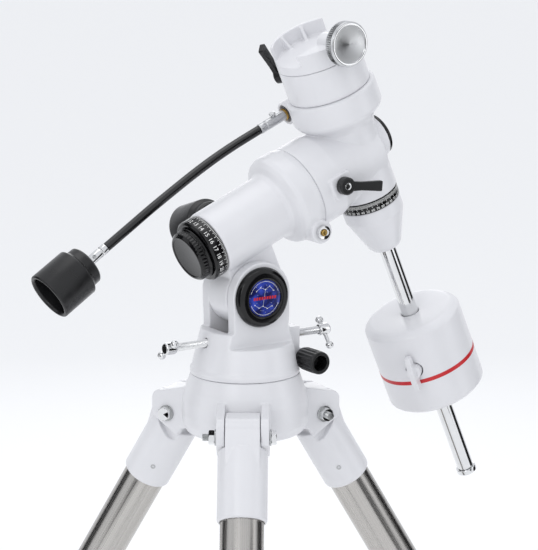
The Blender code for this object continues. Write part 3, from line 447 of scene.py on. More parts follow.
def cast(obj, grain, passes=4):
    """Melt the edges and inner corners as a casting has them."""
    remesh = obj.modifiers.new("cast", "REMESH")
    remesh.mode = "VOXEL"
    remesh.voxel_size = grain * MM
    smooth = obj.modifiers.new("ease", "SMOOTH")
    smooth.iterations = passes
    smooth.factor = 0.5
    settle(obj)
    obj.data.shade_smooth()
    obj["cast"] = True
    return obj


def piece(obj, node, at, look, stands=True):
    """Hand a shape over to a node's body: its place, its finish and what it stands for.

    Its mesh keeps where each point was in its own axes, for the patterns of its finish."""
    mesh = obj.data
    mesh.transform(obj.matrix_basis)
    own = mesh.attributes.new("makers_axes", "FLOAT_VECTOR", "POINT")
    for vert, value in zip(mesh.vertices, own.data):
        value.vector = vert.co
    if look in ("spun", "brass"):
        unroll(mesh)
    mesh.transform(at)
    obj.matrix_basis = Matrix()
    obj.data.materials.clear()
    obj.data.materials.append(FINISHES[look])
    if "cast" not in obj:
        obj.data.shade_smooth()
        obj.data.set_sharp_from_angle(angle=math.radians(32))
    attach(obj, BODY_OF[node])
    if stands:
        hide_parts(node)
    return obj


def unroll(mesh):
    """A UV map that runs round the piece's axis, so that gloss follows the lathe's rings."""
    layer = mesh.uv_layers.new(name="lathe")
    for face in mesh.polygons:
        middle = math.atan2(face.center.y, face.center.x)
        for index in face.loop_indices:
            point = mesh.vertices[mesh.loops[index].vertex_index].co
            turn = math.atan2(point.y, point.x) - middle
            turn = (turn + math.pi) % math.tau - math.pi if point.xy.length > 1e-6 else 0
            layer.data[index].uv = ((middle + turn) / math.tau + 0.5,
                                    (point.xy.length + point.z) / 0.1)


def hexagon(name, radius, low, high):
    """A hexagon head or nut with both faces turned to a cone at the corners."""
    head = cylinder(name, radius, low, high, 6)
    dome = revolve(name + "_dome", [
        (0, high + 0.01), (radius * 0.86, high + 0.01), (radius * 1.02, high - 0.9),
        (radius * 1.02, low + 0.9), (radius * 0.86, low - 0.01), (0, low - 0.01)], 64)
    return combine(head, "INTERSECT", [dome])


def socket_screw(name, radius, low, high):
    """A small cap screw with a hexagon socket in its end."""
    screw = revolve(name, rounded([(0, high), (radius, high), (radius, low), (0, low)], 0.4), 48)
    return cut(screw, cylinder(name + "_socket", radius * 0.55, high - radius * 0.7,
                               high + 1, 6))


def flat_shapes(name, shapes):
    """One mesh of flat outlines, each a list of points in millimetres."""
    bm = bmesh.new()
    for shape in shapes:
        bm.faces.new([bm.verts.new(Vector(point) * MM) for point in shape])
    return solid(name, bm)


# ---------------------------------------------------------------- printed dials

def on_drum(radius, angle, along, height):
    """A point on a drum, along millimetres round it from an angle in degrees."""
    turn = math.radians(angle) + along / radius
    return (radius * math.cos(turn), radius * math.sin(turn), height)


def tick(radius, angle, low, high, width):
    return [on_drum(radius, angle, -width / 2, low), on_drum(radius, angle, width / 2, low),
            on_drum(radius, angle, width / 2, high), on_drum(radius, angle, -width / 2, high)]


def numeral(text, size, radius, angle, base):
    """The faces of a number wrapped round a drum, standing on height base."""
    curve = bpy.data.curves.new("numeral", "FONT")
    curve.body = text
    curve.size = size
    curve.align_x = "CENTER"
    curve.resolution_u = 3
    obj = show("numeral", curve)
    bpy.context.view_layer.update()
    mesh = bpy.data.meshes.new_from_object(
        obj.evaluated_get(bpy.context.evaluated_depsgraph_get()))
    faces = [[on_drum(radius, angle, mesh.vertices[i].co.x,
                      base + mesh.vertices[i].co.y) for i in face.vertices]
             for face in mesh.polygons]
    bpy.data.objects.remove(obj, do_unlink=True)
    bpy.data.meshes.remove(mesh)
    return faces


# ---------------------------------------------------------------- settings

class MountLooks(bpy.types.PropertyGroup):
    """Sizes of the finishes and printed marks."""

    paint_dimple: bpy.props.FloatProperty(
        name="Paint dimple", description="Width of one dimple in the sprayed paint",
        default=1.4 * MM, min=0.2 * MM, unit="LENGTH", subtype="DISTANCE", precision=5)
    spun_groove: bpy.props.FloatProperty(
        name="Spun groove", description="Spacing of the rings on faced aluminium",
        default=0.6 * MM, min=0.1 * MM, unit="LENGTH", subtype="DISTANCE", precision=5)
    casting_grain: bpy.props.FloatProperty(
        name="Casting grain", description="Fineness of the melted edges on castings",
        default=0.9 * MM, min=0.4 * MM, unit="LENGTH", subtype="DISTANCE", precision=5)
    stripe_width: bpy.props.FloatProperty(
        name="Stripe width", description="Width of the red stripe on the counterweight",
        default=4.6 * MM, min=1 * MM, unit="LENGTH", subtype="DISTANCE", precision=4)
    stripe_station: bpy.props.FloatProperty(
        name="Stripe place", description="Middle of the stripe below the weight's top",
        default=58 * MM, min=10 * MM, max=90 * MM, unit="LENGTH", subtype="DISTANCE",
        precision=4)
    dial_tick: bpy.props.FloatProperty(
        name="Dial tick", description="Width of one printed tick on the dials",
        default=0.38 * MM, min=0.1 * MM, unit="LENGTH", subtype="DISTANCE", precision=5)


class MountStage(bpy.types.PropertyGroup):
    """Floor, light and camera."""

    floor_colour: bpy.props.FloatVectorProperty(
        name="Floor", description="Colour of the studio floor", size=4, subtype="COLOR",
        min=0, max=1, default=linear("#FFFFFF"))
    bearing: bpy.props.FloatProperty(
        name="Bearing", description="Compass turn of the camera about the mount",
        default=math.radians(-33.5), subtype="ANGLE", unit="ROTATION")
    elevation: bpy.props.FloatProperty(
        name="Elevation", description="Height of the camera over the horizon",
        default=math.radians(12), subtype="ANGLE", unit="ROTATION")
    distance: bpy.props.FloatProperty(
        name="Distance", description="Camera to the tripod head", default=2.9,
        min=0.5, unit="LENGTH", subtype="DISTANCE")
    focal_length: bpy.props.FloatProperty(
        name="Focal length", description="Lens, in millimetres", default=183.3, min=20)


# ---------------------------------------------------------------- stage

AIM_RIGHT, AIM_UP = 0.0249, 0.0994  # the camera aims right of and above the seam, in metres
FLOOR_REACH, FLOOR_HEIGHT = 60000, -2
LIGHT_TARGET = Vector((0.03, 0, 0.9))
SOFTBOXES = (
    # name, place and size in metres, power in watts
    ("key_softbox", (-2.3, -1.3, 2.0), (1.3, 1.6), 13),
    ("fill_softbox", (1.9, -2.2, 1.5), (0.9, 1.8), 3),
    ("top_softbox", (0.1, 0.2, 3.0), (1.6, 1.6), 9),
    ("rim_softbox", (1.4, 2.2, 1.6), (0.8, 1.6), 5),
)
# Black felt flags seen only in reflections, which give polished metal its dark bands.
DARK_FLAGS = (
    # name, bearing in degrees, half its width in millimetres
    ("dark_flag_left", 192, 380),
    ("dark_flag_right", 296, 300),
    ("dark_flag_far_left", 128, 420),
    ("dark_flag_far_right", 348, 480),
)
FLAG_DISTANCE, FLAG_HEIGHT = 1.5, 0.8


class StageOperator(bpy.types.Operator):
    """Make the pale floor, the soft studio light and the camera"""
    bl_idname = "mount.make_stage"
    bl_label = "Stage"

    def execute(self, context):
        stage = context.scene.mount_stage
        make_camera(stage)
        make_floor(stage)
        make_lights()
        return {"FINISHED"}


def make_camera(stage):
    bearing, elevation = stage.bearing, stage.elevation
    look = Vector((math.sin(-bearing) * math.cos(elevation),
                   math.cos(bearing) * math.cos(elevation), -math.sin(elevation)))
    right = Vector((math.cos(bearing), math.sin(bearing), 0))
    up = right.cross(look)
    aim = SEAM.translation + right * AIM_RIGHT + up * AIM_UP
    data = bpy.data.cameras.new("studio_camera")
    data.lens = stage.focal_length
    data.sensor_width = 36
    camera = show("studio_camera", data)
    camera.matrix_world = Matrix.Translation(aim - look * stage.distance) @ Matrix(
        (right, up, -look)).transposed().to_4x4()
    bpy.context.scene.camera = camera


def make_floor(stage):
    corners = ((-1, -1), (1, -1), (1, 1), (-1, 1))
    floor = flat_shapes("studio_floor", [[(x * FLOOR_REACH, y * FLOOR_REACH, FLOOR_HEIGHT)
                                          for x, y in corners]])
    material = blank_material("matt_studio_paper")
    where = add(material, "ShaderNodeTexCoord", {}).outputs["Object"]
    fibre = add(material, "ShaderNodeTexNoise", {"Vector": where, "Scale": 1000 / 4}).outputs[0]
    bump = add(material, "ShaderNodeBump", {"Height": fibre, "Distance": 0.02 * MM})
    shader = add(material, "ShaderNodeBsdfPrincipled",
                 {"Base Color": stage.floor_colour, "Roughness": 0.9,
                  "Normal": bump.outputs[0]})
    floor.data.materials.append(close_material(material, shader))


def make_softbox(name, place, size, power):
    data = bpy.data.lights.new(name, "AREA")
    data.shape = "RECTANGLE"
    data.size, data.size_y = size
    data.energy = power
    light = show(name, data)
    turn = (LIGHT_TARGET - Vector(place)).to_track_quat("-Z", "Y").to_matrix().to_4x4()
    light.matrix_world = Matrix.Translation(place) @ turn


def make_lights():
    for softbox in SOFTBOXES:
        make_softbox(*softbox)
    world = bpy.data.worlds.new("studio_air")
    world.use_nodes = True
    back = world.node_tree.nodes["Background"]
    back.inputs["Color"].default_value = linear("#F4F6FA")
    back.inputs["Strength"].default_value = 0.94
    bpy.context.scene.world = world
    bpy.context.scene.view_settings.view_transform = "Standard"
    for name, angle, half in DARK_FLAGS:
        turn = math.radians(angle)
        place = Vector((FLAG_DISTANCE * math.cos(turn), FLAG_DISTANCE * math.sin(turn),
                        FLAG_HEIGHT))
        flag = block(name, (-10, -half, -900), (10, half, 900))
        flag.matrix_world = Matrix.Translation(place) @ Matrix.Rotation(turn, 4, "Z")
        material = blank_material(name + "_felt")
        shader = add(material, "ShaderNodeBsdfPrincipled",
                     {"Base Color": linear("#101010"), "Roughness": 1.0})
        flag.data.materials.append(close_material(material, shader))
        flag.visible_camera = False
        flag.visible_diffuse = False
        flag.visible_shadow = False


class FlexibleShaftsOperator(bpy.types.Operator):
    """Make the two flexible shafts with their sleeves"""
    bl_idname = "mount.make_flexible_shafts"
    bl_label = "Flexible shafts"

    def execute(self, context):
        for axis, route in (("dec", DEC_CABLE), ("ra", RA_CABLE)):
            make_flexible_shaft(axis, route)
        return {"FINISHED"}


def smooth_route(points, parts):
    """Catmull-Rom points along a route, with so many parts to each of its spans."""
    route = [Vector(point) for point in points]
    ends = [route[0] * 2 - route[1]] + route + [route[-1] * 2 - route[-2]]
    result = []
    for a, b, c, d in zip(ends, ends[1:], ends[2:], ends[3:]):
        for step in range(parts):
            t = step / parts
            result.append(0.5 * ((2 * b) + (c - a) * t + (2 * a - 5 * b + 4 * c - d) * t ** 2
                                 + (3 * b - a - 3 * c + d) * t ** 3))
    return result + [route[-1]]


def make_flexible_shaft(axis, route):
    curve = bpy.data.curves.new(axis + "_shaft_sleeve", "CURVE")
    curve.dimensions = "3D"
    curve.bevel_depth = 4.9 * MM
    curve.bevel_resolution = 8
    curve.use_fill_caps = True
    spline = curve.splines.new("POLY")
    points = [SEAM @ (point * MM) for point in smooth_route(route, 6)]
    spline.points.add(len(points) - 1)
    for control, point in zip(spline.points, points):
        control.co = (*point, 1)
    sleeve = show(axis + "_shaft_sleeve", curve)
    sleeve.data.materials.append(FINISHES["sleeve"])
    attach(sleeve, BODY_OF[axis + "_cable"])
    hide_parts(axis + "_cable")
    knob = make_cable_knob(axis, route)


def make_cable_knob(axis, route):
    """The knob's ferrule is clamped on the shaft by a small cap screw."""
    node = axis + "_cable_knob"
    end = Vector(route[-1])
    way = (end - Vector(route[-2])).normalized()
    side = Vector((0, 0, 1)).cross(way).normalized()
    turn = Matrix((side, way.cross(side), way)).transposed().to_4x4()
    at = SEAM @ Matrix.Translation(end * MM) @ turn
    cup = revolve(node + "_cup", rounded([
        (0, 26.2), (18.6, 26.2), (21, 28.4), (21.4, 36.6), (26, 40), (26.2, 79.4),
        (24.6, 80.6), (22.7, 80.2), (21.5, 78), (21.2, 46), (0, 46)], 0.9), 120)
    piece(cup, node, at, "abs")
    ferrule = revolve(node + "_ferrule", rounded([
        (0, 0.4), (4.6, 0.4), (5.5, 1.4), (5.5, 7), (4.9, 7.6), (4.9, 8.4), (5.5, 9),
        (5.5, 27), (0, 27)], 0.3), 64)
    piece(ferrule, node, at, "chrome", False)
    screw = put(socket_screw(node + "_screw", 2.0, 4.5, 7.3), (0, 0, 18), (0, 90, 35))
    piece(screw, node, at, "zinc", False)
    return [cup, ferrule, screw]


class TripodOperator(bpy.types.Operator):
    """Make the tripod head, the legs and their bolts"""
    bl_idname = "mount.make_tripod"
    bl_label = "Tripod"

    def execute(self, context):
        grain = context.scene.mount_looks.casting_grain / MM
        make_tripod_head(grain)
        for number, bearing in enumerate(LEG_BEARINGS, 1):
            make_leg(number, bearing, grain)
        return {"FINISHED"}


EAR_OUTLINE = [(-28, 30), (-18.8, 30), (5.4, 24)] + arc((8.8, 14), 10, 70, 0, 8) + [
    (18.8, -3.7), (-11.4, -23.2), (-16.8, -15), (-28, -13)]


def make_tripod_head(grain):
    head = revolve("tripod_head_casting", [
        (56.5, 0), (58.5, -6), (62, -16), (65, -28), (66, -42), (65, -52), (61.5, -60),
        (59, -62), (55, -62), (58, -48), (55, -24), (46, -14), (8.6, -14), (8.6, 0)],
        144, ring=True)
    ears, bores = [], []
    for bearing in LEG_BEARINGS:
        out = leg_pin(bearing)
        for low, high in ((-26.8, -18.3), (18.3, 26.8)):
            ears.append(put(prism("ear", EAR_OUTLINE, low, high), out, (90, 0, bearing)))
        bores.append(put(cylinder("bore", 4.5, -40, 40, 32), out, (90, 0, bearing)))
    join(head, *ears, put(cylinder("peg", 5, -8, 21.6, 32), (54, 0, 0)))
    cast(cut(head, *bores), grain, 5)
    piece(head, "tripod_head", SEAM, "enamel")
    bolt = revolve("centre_bolt_knob", rounded([
        (0, 15), (7, 15), (7.8, 14), (7.8, -14.8), (19.8, -14.8), (21.8, -18), (21.8, -32),
        (19, -38), (0, -38)], 1), 120, flutes=12, depth=1.4, band=(-33, -17))
    piece(bolt, "centre_bolt", SEAM, "abs")


def in_leg(radial, height):
    splay = math.radians(SPLAY)
    return (3 + radial * math.cos(splay) + height * math.sin(splay),
            height * math.cos(splay) - radial * math.sin(splay))


def make_leg(number, bearing, grain):
    hinge = leg_hinge(bearing)
    axis = hinge @ spot((-3, 0, 0))
    make_leg_bolt(number, hinge @ spot(rotation=(-90, 0, 0)))
    name = "leg_socket_%d" % number
    socket = revolve(name + "_casting", [(0, -14.2), (24.5, -14.2), (25.5, -15.2),
                                         (25.5, -87), (23.5, -89), (0, -89)], 96)
    outline = [in_leg(x, y) for x, y in [(-10, 23.5), (5.2, 23.5)] + arc((8.5, 14), 10, 70, 0, 8)]
    outline += [(25.5, -9), (18.5, -40), (0, -40), in_leg(-10, -26)]
    join(socket, put(prism("tongue", outline, -17.7, 17.7), rotation=(90, 0, 0)))
    sweep = [(-30, -10), (-30, -24), (-13, -24.5), (8, -14.2), (8, -10)]
    cut(socket, cylinder("tube_bore", 22.5, -100, -30, 96),
        put(cylinder("pin_bore", 4.5, -30, 30, 32), (3, 0, 0), (90, 0, 0)),
        put(prism("sweep_a", sweep, -32, -18.3), (3, 0, 0), (90, 0, 0)),
        put(prism("sweep_b", sweep, 18.3, 32), (3, 0, 0), (90, 0, 0)))
    piece(cast(socket, grain), name, axis, "enamel")
    for side in (-1, 1):
        screw = put(socket_screw("%s_screw_%s" % (name, "west" if side > 0 else "east"),
                                 2.6, 22, 26.0), (0, 0, -64), (0, 90, 180 + 62 * side))
        piece(screw, name, axis, "zinc", False)
    name = "leg_tube_%d" % number
    tube = revolve(name + "_drawn", rounded([(22.25, -31), (22.25, -640), (20.65, -640),
                                             (20.65, -31)], 0.3, True), 128, ring=True)
    piece(tube, name, axis, "tube")
    name = "leg_collar_%d" % number
    collar = revolve(name + "_moulding", rounded([
        (26, -600), (28, -603), (28, -664), (25, -668), (19.5, -668), (19.5, -641),
        (22.75, -641), (22.75, -600)], 0.8, True), 144, True, 36, 0.7, (-655, -612))
    piece(collar, name, axis, "abs")
    make_foot(number, axis)


def make_leg_bolt(number, at):
    """The hinge bolt's nut is left proud on its thread, as a fitter leaves it."""
    name = "leg_bolt_%d" % number
    thread = threaded(name + "_thread", 3.9, -41, -26, 1.25, 0.6)
    piece(thread, name, at, "zinc")
    shank = cylinder(name + "_shank", 3.9, -26, 28, 32)
    piece(shank, name, at, "zinc", False)
    for part, low, high in (("head", 28.8, 34), ("nut", -34.8, -28.8)):
        piece(hexagon("%s_%s" % (name, part), 7.5, low, high), name, at, "chrome",
              False)
    for part, low in (("head", 27.1), ("nut", -28.7)):
        washer = revolve("%s_%s_washer" % (name, part), rounded([
            (4.2, low + 1.6), (8.5, low + 1.6), (8.5, low), (4.2, low)], 0.3, True), 64, True)
        piece(washer, name, at, "zinc", False)


def make_foot(number, axis):
    """Inner tube and its rubber shoe, whose sole is ground flat on the floor."""
    name = "leg_inner_%d" % number
    tube = revolve(name + "_drawn", rounded([(0, -420), (19, -420), (19, -736), (0, -736)],
                                            0.4), 96)
    piece(tube, name, axis, "tube")
    shoe = revolve(name + "_shoe", rounded([
        (0, -735), (21.8, -735.4), (22, -760), (14.8, -785), (14.8, -812), (0, -812)], 1.2),
        120, flutes=20, depth=0.8, band=(-758, -738))
    floor = block("floor", (-900, -900, -60), (900, 900, 0.2))
    floor.matrix_world = axis.inverted()
    piece(cut(shoe, floor), name, axis, "rubber", False)


class ForkOperator(bpy.types.Operator):
    """Make the fork, the altitude bolts and the azimuth knobs"""
    bl_idname = "mount.make_fork"
    bl_label = "Fork and adjusters"

    def execute(self, context):
        make_fork_casting(context.scene.mount_looks.casting_grain / MM)
        make_bezel()
        make_axle_nut()
        make_altitude_bolt("south", -91, 84 - 48, (-1, 0, 0), (0, 0.83, -0.55))
        make_altitude_bolt("north", 98, 84 - 52, (1, 0, 0), (0, -0.64, -0.77))
        make_azimuth_knobs()
        return {"FINISHED"}


def make_fork_casting(grain):
    base = revolve("fork_casting", [
        (0, 48), (45, 48), (46, 47), (55.4, 7.5), (56.5, 6.5), (57.0, 5), (57, 1.5),
        (56.5, 0.3), (0, 0.3)], 144)
    cut(base, block("side_a", (-70, -70, 33), (70, -30, 60)),
        block("side_b", (-70, 30, 33), (70, 70, 60)))
    outline = [(-31, -59), (34, -59)] + arc((1.5, 1), 34.5, 0, 180, 40)
    join(base, put(prism("cheeks", outline, -30, 30), (0, 0, 84), (90, 0, 0)),
         block("north_block", (20, -21.3, 0.3), (54.3, 21.3, 45)),
         put(cylinder("boss", 8.5, -21.3, 21.3), (54, 0, 13), (-90, 0, 0)))
    cut(base, block("slot", (-33, -17.6, 20), (36, 17.6, 140)),
        block("peg_slot", (45, -15.5, -5), (75, 15.5, 24)),
        cylinder("centre", 8.6, -5, 17),
        put(cylinder("axle", 8.4, -40, 40), (0, 0, 84), (-90, 0, 0)),
        put(cylinder("south_bore", 4.8, -70, 0), (0, 0, 36), (0, 90, 0)),
        put(cylinder("north_bore", 4.8, 0, 70), (0, 0, 32), (0, 90, 0)),
        put(cylinder("screw_bore", 3.8, -40, 40), (54, 0, 13), (-90, 0, 0)),
        put(cylinder("relief_a", 13.6, 21.7, 60), (54, 0, 13), (-90, 0, 0)),
        put(cylinder("relief_b", 13.6, -60, -21.7), (54, 0, 13), (-90, 0, 0)))
    piece(cast(base, grain), "mount_base", SEAM, "enamel")


def make_bezel():
    """Polished bezel with an enamelled star disc in it."""
    bezel = revolve("altitude_cap_bezel", rounded([
        (15, 30.3), (31.3, 30.4), (31.2, 33), (29.4, 36.5), (26, 38.7), (21.2, 39.2),
        (19.6, 38.4), (19.4, 36.8), (15, 36.8)], 0.8, True), 144, True)
    piece(bezel, "altitude_cap", ALTITUDE, "gloss_abs")
    disc = revolve("altitude_cap_disc", [(0, 37.15), (16, 37.1), (19.3, 36.9), (19.3, 34),
                                         (0, 34)], 96)
    piece(disc, "altitude_cap", ALTITUDE, "stars", False)
    chart = [(-12, -6), (-7, -9.5), (-2, -8), (3, -11), (9, -9), (-10, 8), (-5, 11.5), (1, 9),
             (6, 12), (11, 7)]
    links = [(0, 1), (1, 2), (2, 3), (3, 4), (5, 6), (6, 7), (7, 8), (8, 9), (2, 7)]
    shapes = []
    for x, y in chart:
        shapes.append([(a, b, 37.32) for a, b in arc((x, y), 0.55, 0, 330, 11)])
    for first, last in links:
        a, b = Vector(chart[first]), Vector(chart[last])
        wide = (b - a).orthogonal().normalized() * 0.11
        shapes.append([(*(a + wide), 37.28), (*(b + wide), 37.28), (*(b - wide), 37.28),
                       (*(a - wide), 37.28)])
    for radius, start, end in ((17.6, 20, 160), (17.6, 200, 340)):
        outer = arc((0, 0), radius, start, end, 40)
        inner = arc((0, 0), radius - 0.3, start, end, 40)
        for index in range(40):
            shapes.append([(*outer[index], 37.25), (*outer[index + 1], 37.25),
                           (*inner[index + 1], 37.25), (*inner[index], 37.25)])
    piece(flat_shapes("altitude_cap_chart", shapes), "altitude_cap", ALTITUDE, "ink",
          False)
    # A plain red band of dashes crosses the middle of the disc.
    dashes = [[(x - 1.1, -1.3, 37.36), (x + 1.1, -1.3, 37.36), (x + 1.5, 1.7, 37.36),
               (x - 0.7, 1.7, 37.36)] for x in (-12.5, -9.4, -6.3, -3.1, 0, 3.1, 6.3, 9.4, 12.5)]
    piece(flat_shapes("altitude_cap_band", dashes), "altitude_cap", ALTITUDE, "stripe",
          False)


def make_axle_nut():
    piece(cylinder("altitude_axle_shank", 8, -37, 30, 64), "altitude_axle", ALTITUDE, "zinc")
    piece(hexagon("altitude_axle_nut", 13, -38.8, -30.4), "altitude_axle", ALTITUDE, "chrome",
          False)


def make_altitude_bolt(side, hub, height, outward, bar_down):
    """T-bolt: a threaded rod, its drilled hub and a sliding bar with balled ends."""
    z_axis = Vector(outward).normalized()
    x_axis = -Vector(bar_down).normalized()
    x_axis = (x_axis - z_axis * x_axis.dot(z_axis)).normalized()
    turn = Matrix((x_axis, z_axis.cross(x_axis), z_axis)).transposed().to_4x4()
    at = SEAM @ spot((0, 0, height)) @ turn
    far = abs(hub)
    node = "altitude_bolt_" + side
    rod = threaded(node + "_thread", 4.2, 20.8, far - 7, 1.5, 0.8, 32)
    piece(rod, node, at, "chrome")
    head = revolve(node + "_hub", rounded([
        (0, far + 6.5), (5.2, far + 6.5), (6.4, far + 5), (6.4, far - 5), (5.4, far - 6.5),
        (0, far - 7.2)], 0.8), 64)
    cut(head, put(cylinder("bar_bore", 2.4, -10, 10, 32), (0, 0, far), (0, 90, 0)))
    piece(head, node, at, "chrome", False)
    node = "altitude_bar_" + side
    profile = arc((0, 0), 4.4, 90, -62, 10)
    upper = [(max(r, 0), z + 11) for r, z in profile]
    lower = [(r, -30 - (z - 11) + 11) for r, z in upper[::-1]]
    bar = revolve(node + "_rod", upper + lower, 48)
    piece(bar, node, at @ spot((0, 0, far), (0, 90, 0)), "chrome")


def make_azimuth_knobs():
    for side, name in ((-1, "east"), (1, "west")):
        node = "azimuth_knob_" + name
        at = SEAM @ spot((54, 0, 13), (-90 * side, 0, 0))
        knob = revolve(node + "_grip", rounded([
            (0, 44), (7.8, 44), (8, 59), (8.6, 60), (10.8, 60), (11.8, 59), (12.2, 54),
            (12.2, 46), (12.1, 38), (12, 34), (11, 29), (9, 27), (0, 27)][::-1], 0.7),
            144, flutes=18, depth=1.0, band=(33, 56))
        piece(knob, node, at, "abs")
        thread = threaded(node + "_thread", 3.4, 9.9, 28, 1, 0.5)
        piece(thread, node, at, "zinc", False)


class PolarAxisOperator(bpy.types.Operator):
    """Make the polar housing, its hour circle and cap, and its worm's outer parts"""
    bl_idname = "mount.make_polar_axis"
    bl_label = "Polar axis"

    def execute(self, context):
        looks = context.scene.mount_looks
        make_polar_housing(looks.casting_grain / MM)
        make_hour_circle(looks.dial_tick / MM)
        make_polar_cap()
        make_worm_nut()
        make_worm_ferrule("ra", RA_WORM, 41, 73.7)
        return {"FINISHED"}


def make_polar_housing(grain):
    seam, end = HOUSING_SEAM, HOUSING_END
    housing = revolve("ra_housing_casting", [
        (0, seam - 0.3), (46.5, seam - 0.3), (47.5, seam - 2), (48.5, seam - 8),
        (48.5, seam - 22), (46.5, seam - 27), (42.5, seam - 30), (36.5, seam - 33),
        (34.5, seam - 38), (34.5, end + 3), (33.5, end + 0.6), (32.5, end), (20.8, end),
        (20.8, end - 15.6), (0, end - 15.6)], 144)
    tilt = math.radians(TILT)
    reach, rise = AXES_MEET[0], AXES_MEET[2] - ALTITUDE_HEIGHT
    station = -reach * math.cos(tilt) - rise * math.sin(tilt)
    drop = -reach * math.sin(tilt) + rise * math.cos(tilt)
    upright = (Matrix.Rotation(math.radians(90 - TILT), 3, "Y").inverted()
               @ Matrix.Rotation(math.radians(90), 3, "X")).to_euler()
    outline = arc((0, -48), 12, 140, 400, 20) + [(8, -36), (8, 0), (-8, 0), (-8, -36)]
    tail = put(prism("tail", outline, -10, 10), (drop, 0, station),
               [math.degrees(angle) for angle in upright])
    join(housing,
         put(cylinder("lobe", 12.3, -44, 40), RA_WORM_POINT, (-90, 0, 0)),
         put(cylinder("boss", 34, -17.1, 17.1, 96), (drop, 0, station), (90, 0, 0)),
         block("web", (20, -17.1, end + 1), (drop, 17.1, station + 40)), tail)
    cut(housing, cylinder("chamber", 36, seam - 25, seam + 10, 96),
        cylinder("bore", 16.6, end - 30, seam, 96),
        put(cylinder("worm_bore", 8.2, -30, 42), RA_WORM_POINT, (-90, 0, 0)),
        put(cylinder("axle_bore", 8.5, -40, 40), (drop, 0, station), (90, 0, 0)),
        put(cylinder("nut_bore", 5.5, -50, -25), RA_WORM_POINT, (-90, 0, 0)))
    piece(cast(housing, grain), "ra_housing", POLAR, "enamel")


def make_hour_circle(width):
    end = HOUSING_END
    ring = revolve("hour_circle_ring", rounded([
        (32.6, end - 0.3), (33.3, end - 1), (33.3, end - 14), (31.5, end - 16),
        (21.4, end - 16), (21.4, end - 0.3)], 0.4, True), 144, True)
    piece(ring, "hour_circle", POLAR, "gloss_abs")
    marks = []
    for index in range(144):
        low = end - (5.6 if index % 6 == 0 else 4.2 if index % 3 == 0 else 3.2)
        marks.append(tick(33.38, index * 2.5, low, end - 1.2, width))
    for hour in range(24):
        marks += numeral(str(hour), 6.2, 33.38, hour * 15 + 2, end - 12.0)
    piece(flat_shapes("hour_circle_scale", marks), "hour_circle", POLAR, "ink",
          False)


def make_polar_cap():
    end = HOUSING_END
    cap = revolve("polar_cap_moulding", rounded([
        (0, end - 12), (12, end - 12), (12, end - 16.6), (28.3, end - 16.6),
        (28.3, end - 18.5), (26.3, end - 19.5), (26.9, end - 21), (26.9, end - 26),
        (24, end - 28.8), (22, end - 28.8), (21.6, end - 28), (0, end - 28)], 0.6),
        192, flutes=48, depth=0.5, band=(end - 26.4, end - 20.4))
    piece(cap, "polar_cap", POLAR, "gloss_abs")


def make_worm_nut():
    """The worm's end bearing: a brass sleeve with a bright plated ring and a brass centre."""
    at = POLAR @ spot(RA_WORM_POINT, (90, 0, 0))
    sleeve = revolve("ra_worm_nut_sleeve", [(0, 46), (5.1, 46), (5.1, 27), (4.9, 22.5),
                                            (0, 22.5)], 48)
    piece(sleeve, "ra_worm_nut", at, "brass")
    ring = revolve("ra_worm_nut_ring", rounded([
        (3.6, 47.6), (7.2, 48.4), (7.4, 44.4), (3.6, 44.4)], 0.4, True), 64, True)
    piece(ring, "ra_worm_nut", at, "chrome", False)
    heart = revolve("ra_worm_nut_centre", rounded([(0, 49.1), (2.6, 49.1), (3.4, 48.2),
                                                   (3.4, 45), (0, 45)], 0.4), 48)
    piece(heart, "ra_worm_nut", at, "brass", False)


def make_worm_ferrule(axis, at, start, end):
    """The worm's outer end: an anodised ferrule with a groove, a brass ring and a thumb screw."""
    node = axis + "_worm"
    radius, half = (7.2, 15) if axis == "ra" else (8.4, 14)
    worm = threaded(node + "_thread", radius, -half, half, 4.7 if axis == "ra" else 5.4, 1.8, 40)
    piece(worm, node, at, "zinc")
    shaft = cylinder(node + "_shaft", 4, -half - 6, start + 4, 48)
    piece(shaft, node, at, "zinc", False)
    ferrule = revolve(node + "_ferrule", rounded([
        (0, end), (4.8, end), (5.5, end - 0.8), (5.5, end - 7), (4.9, end - 7.6),
        (4.9, end - 8.6), (5.5, end - 9.2), (5.5, start + 1), (4.8, start), (0, start)], 0.3), 64)
    piece(ferrule, node, at, "satin", False)
    ring = revolve(node + "_bearing", rounded([(5.55, start + 1.6), (6.4, start + 1.2),
                                               (6.6, start - 1), (5.55, start - 1)], 0.2, True),
                   64, True)
    piece(ring, node, at, "brass", False)
    screw = revolve(node + "_thumb_screw", rounded([
        (0, 9.3), (3.2, 9.3), (3.5, 8.8), (3.5, 6.6), (2, 6.2), (2, 4), (0, 4)], 0.25),
        72, flutes=18, depth=0.3, band=(6.5, 9.0))
    piece(put(screw, (0, 0, start + 14), (0, 90, 0)), node, at, "chrome",
          False)


class DeclinationOperator(bpy.types.Operator):
    """Make the declination casting, its circle, cap, cone and the two clutch levers"""
    bl_idname = "mount.make_declination"
    bl_label = "Declination axis"

    def execute(self, context):
        looks = context.scene.mount_looks
        make_dec_casting(looks.casting_grain / MM)
        make_dec_circle(looks.dial_tick / MM)
        make_front_cap()
        cone = revolve("shaft_cone_turning", rounded([
            (31.4, -56.0), (32, -57), (32, -69.7), (18, -107), (15, -111), (9.4, -111),
            (9.4, -94.4), (16.4, -94.4), (16.4, -56)], 1.2, True), 144, True)
        piece(cone, "shaft_cone", DEC, "enamel")
        make_worm_ferrule("dec", DEC_WORM, 38.4, 73.1)
        make_lever("ra_clutch", DEC @ spot((-51, -48.8, -1), (90, 28, 0)))
        make_lever("dec_clutch", DEC @ spot((-25.2, 36.0, DEC_CLUTCH_STATION),
                                           DEC_CLUTCH_TURN))
        return {"FINISHED"}


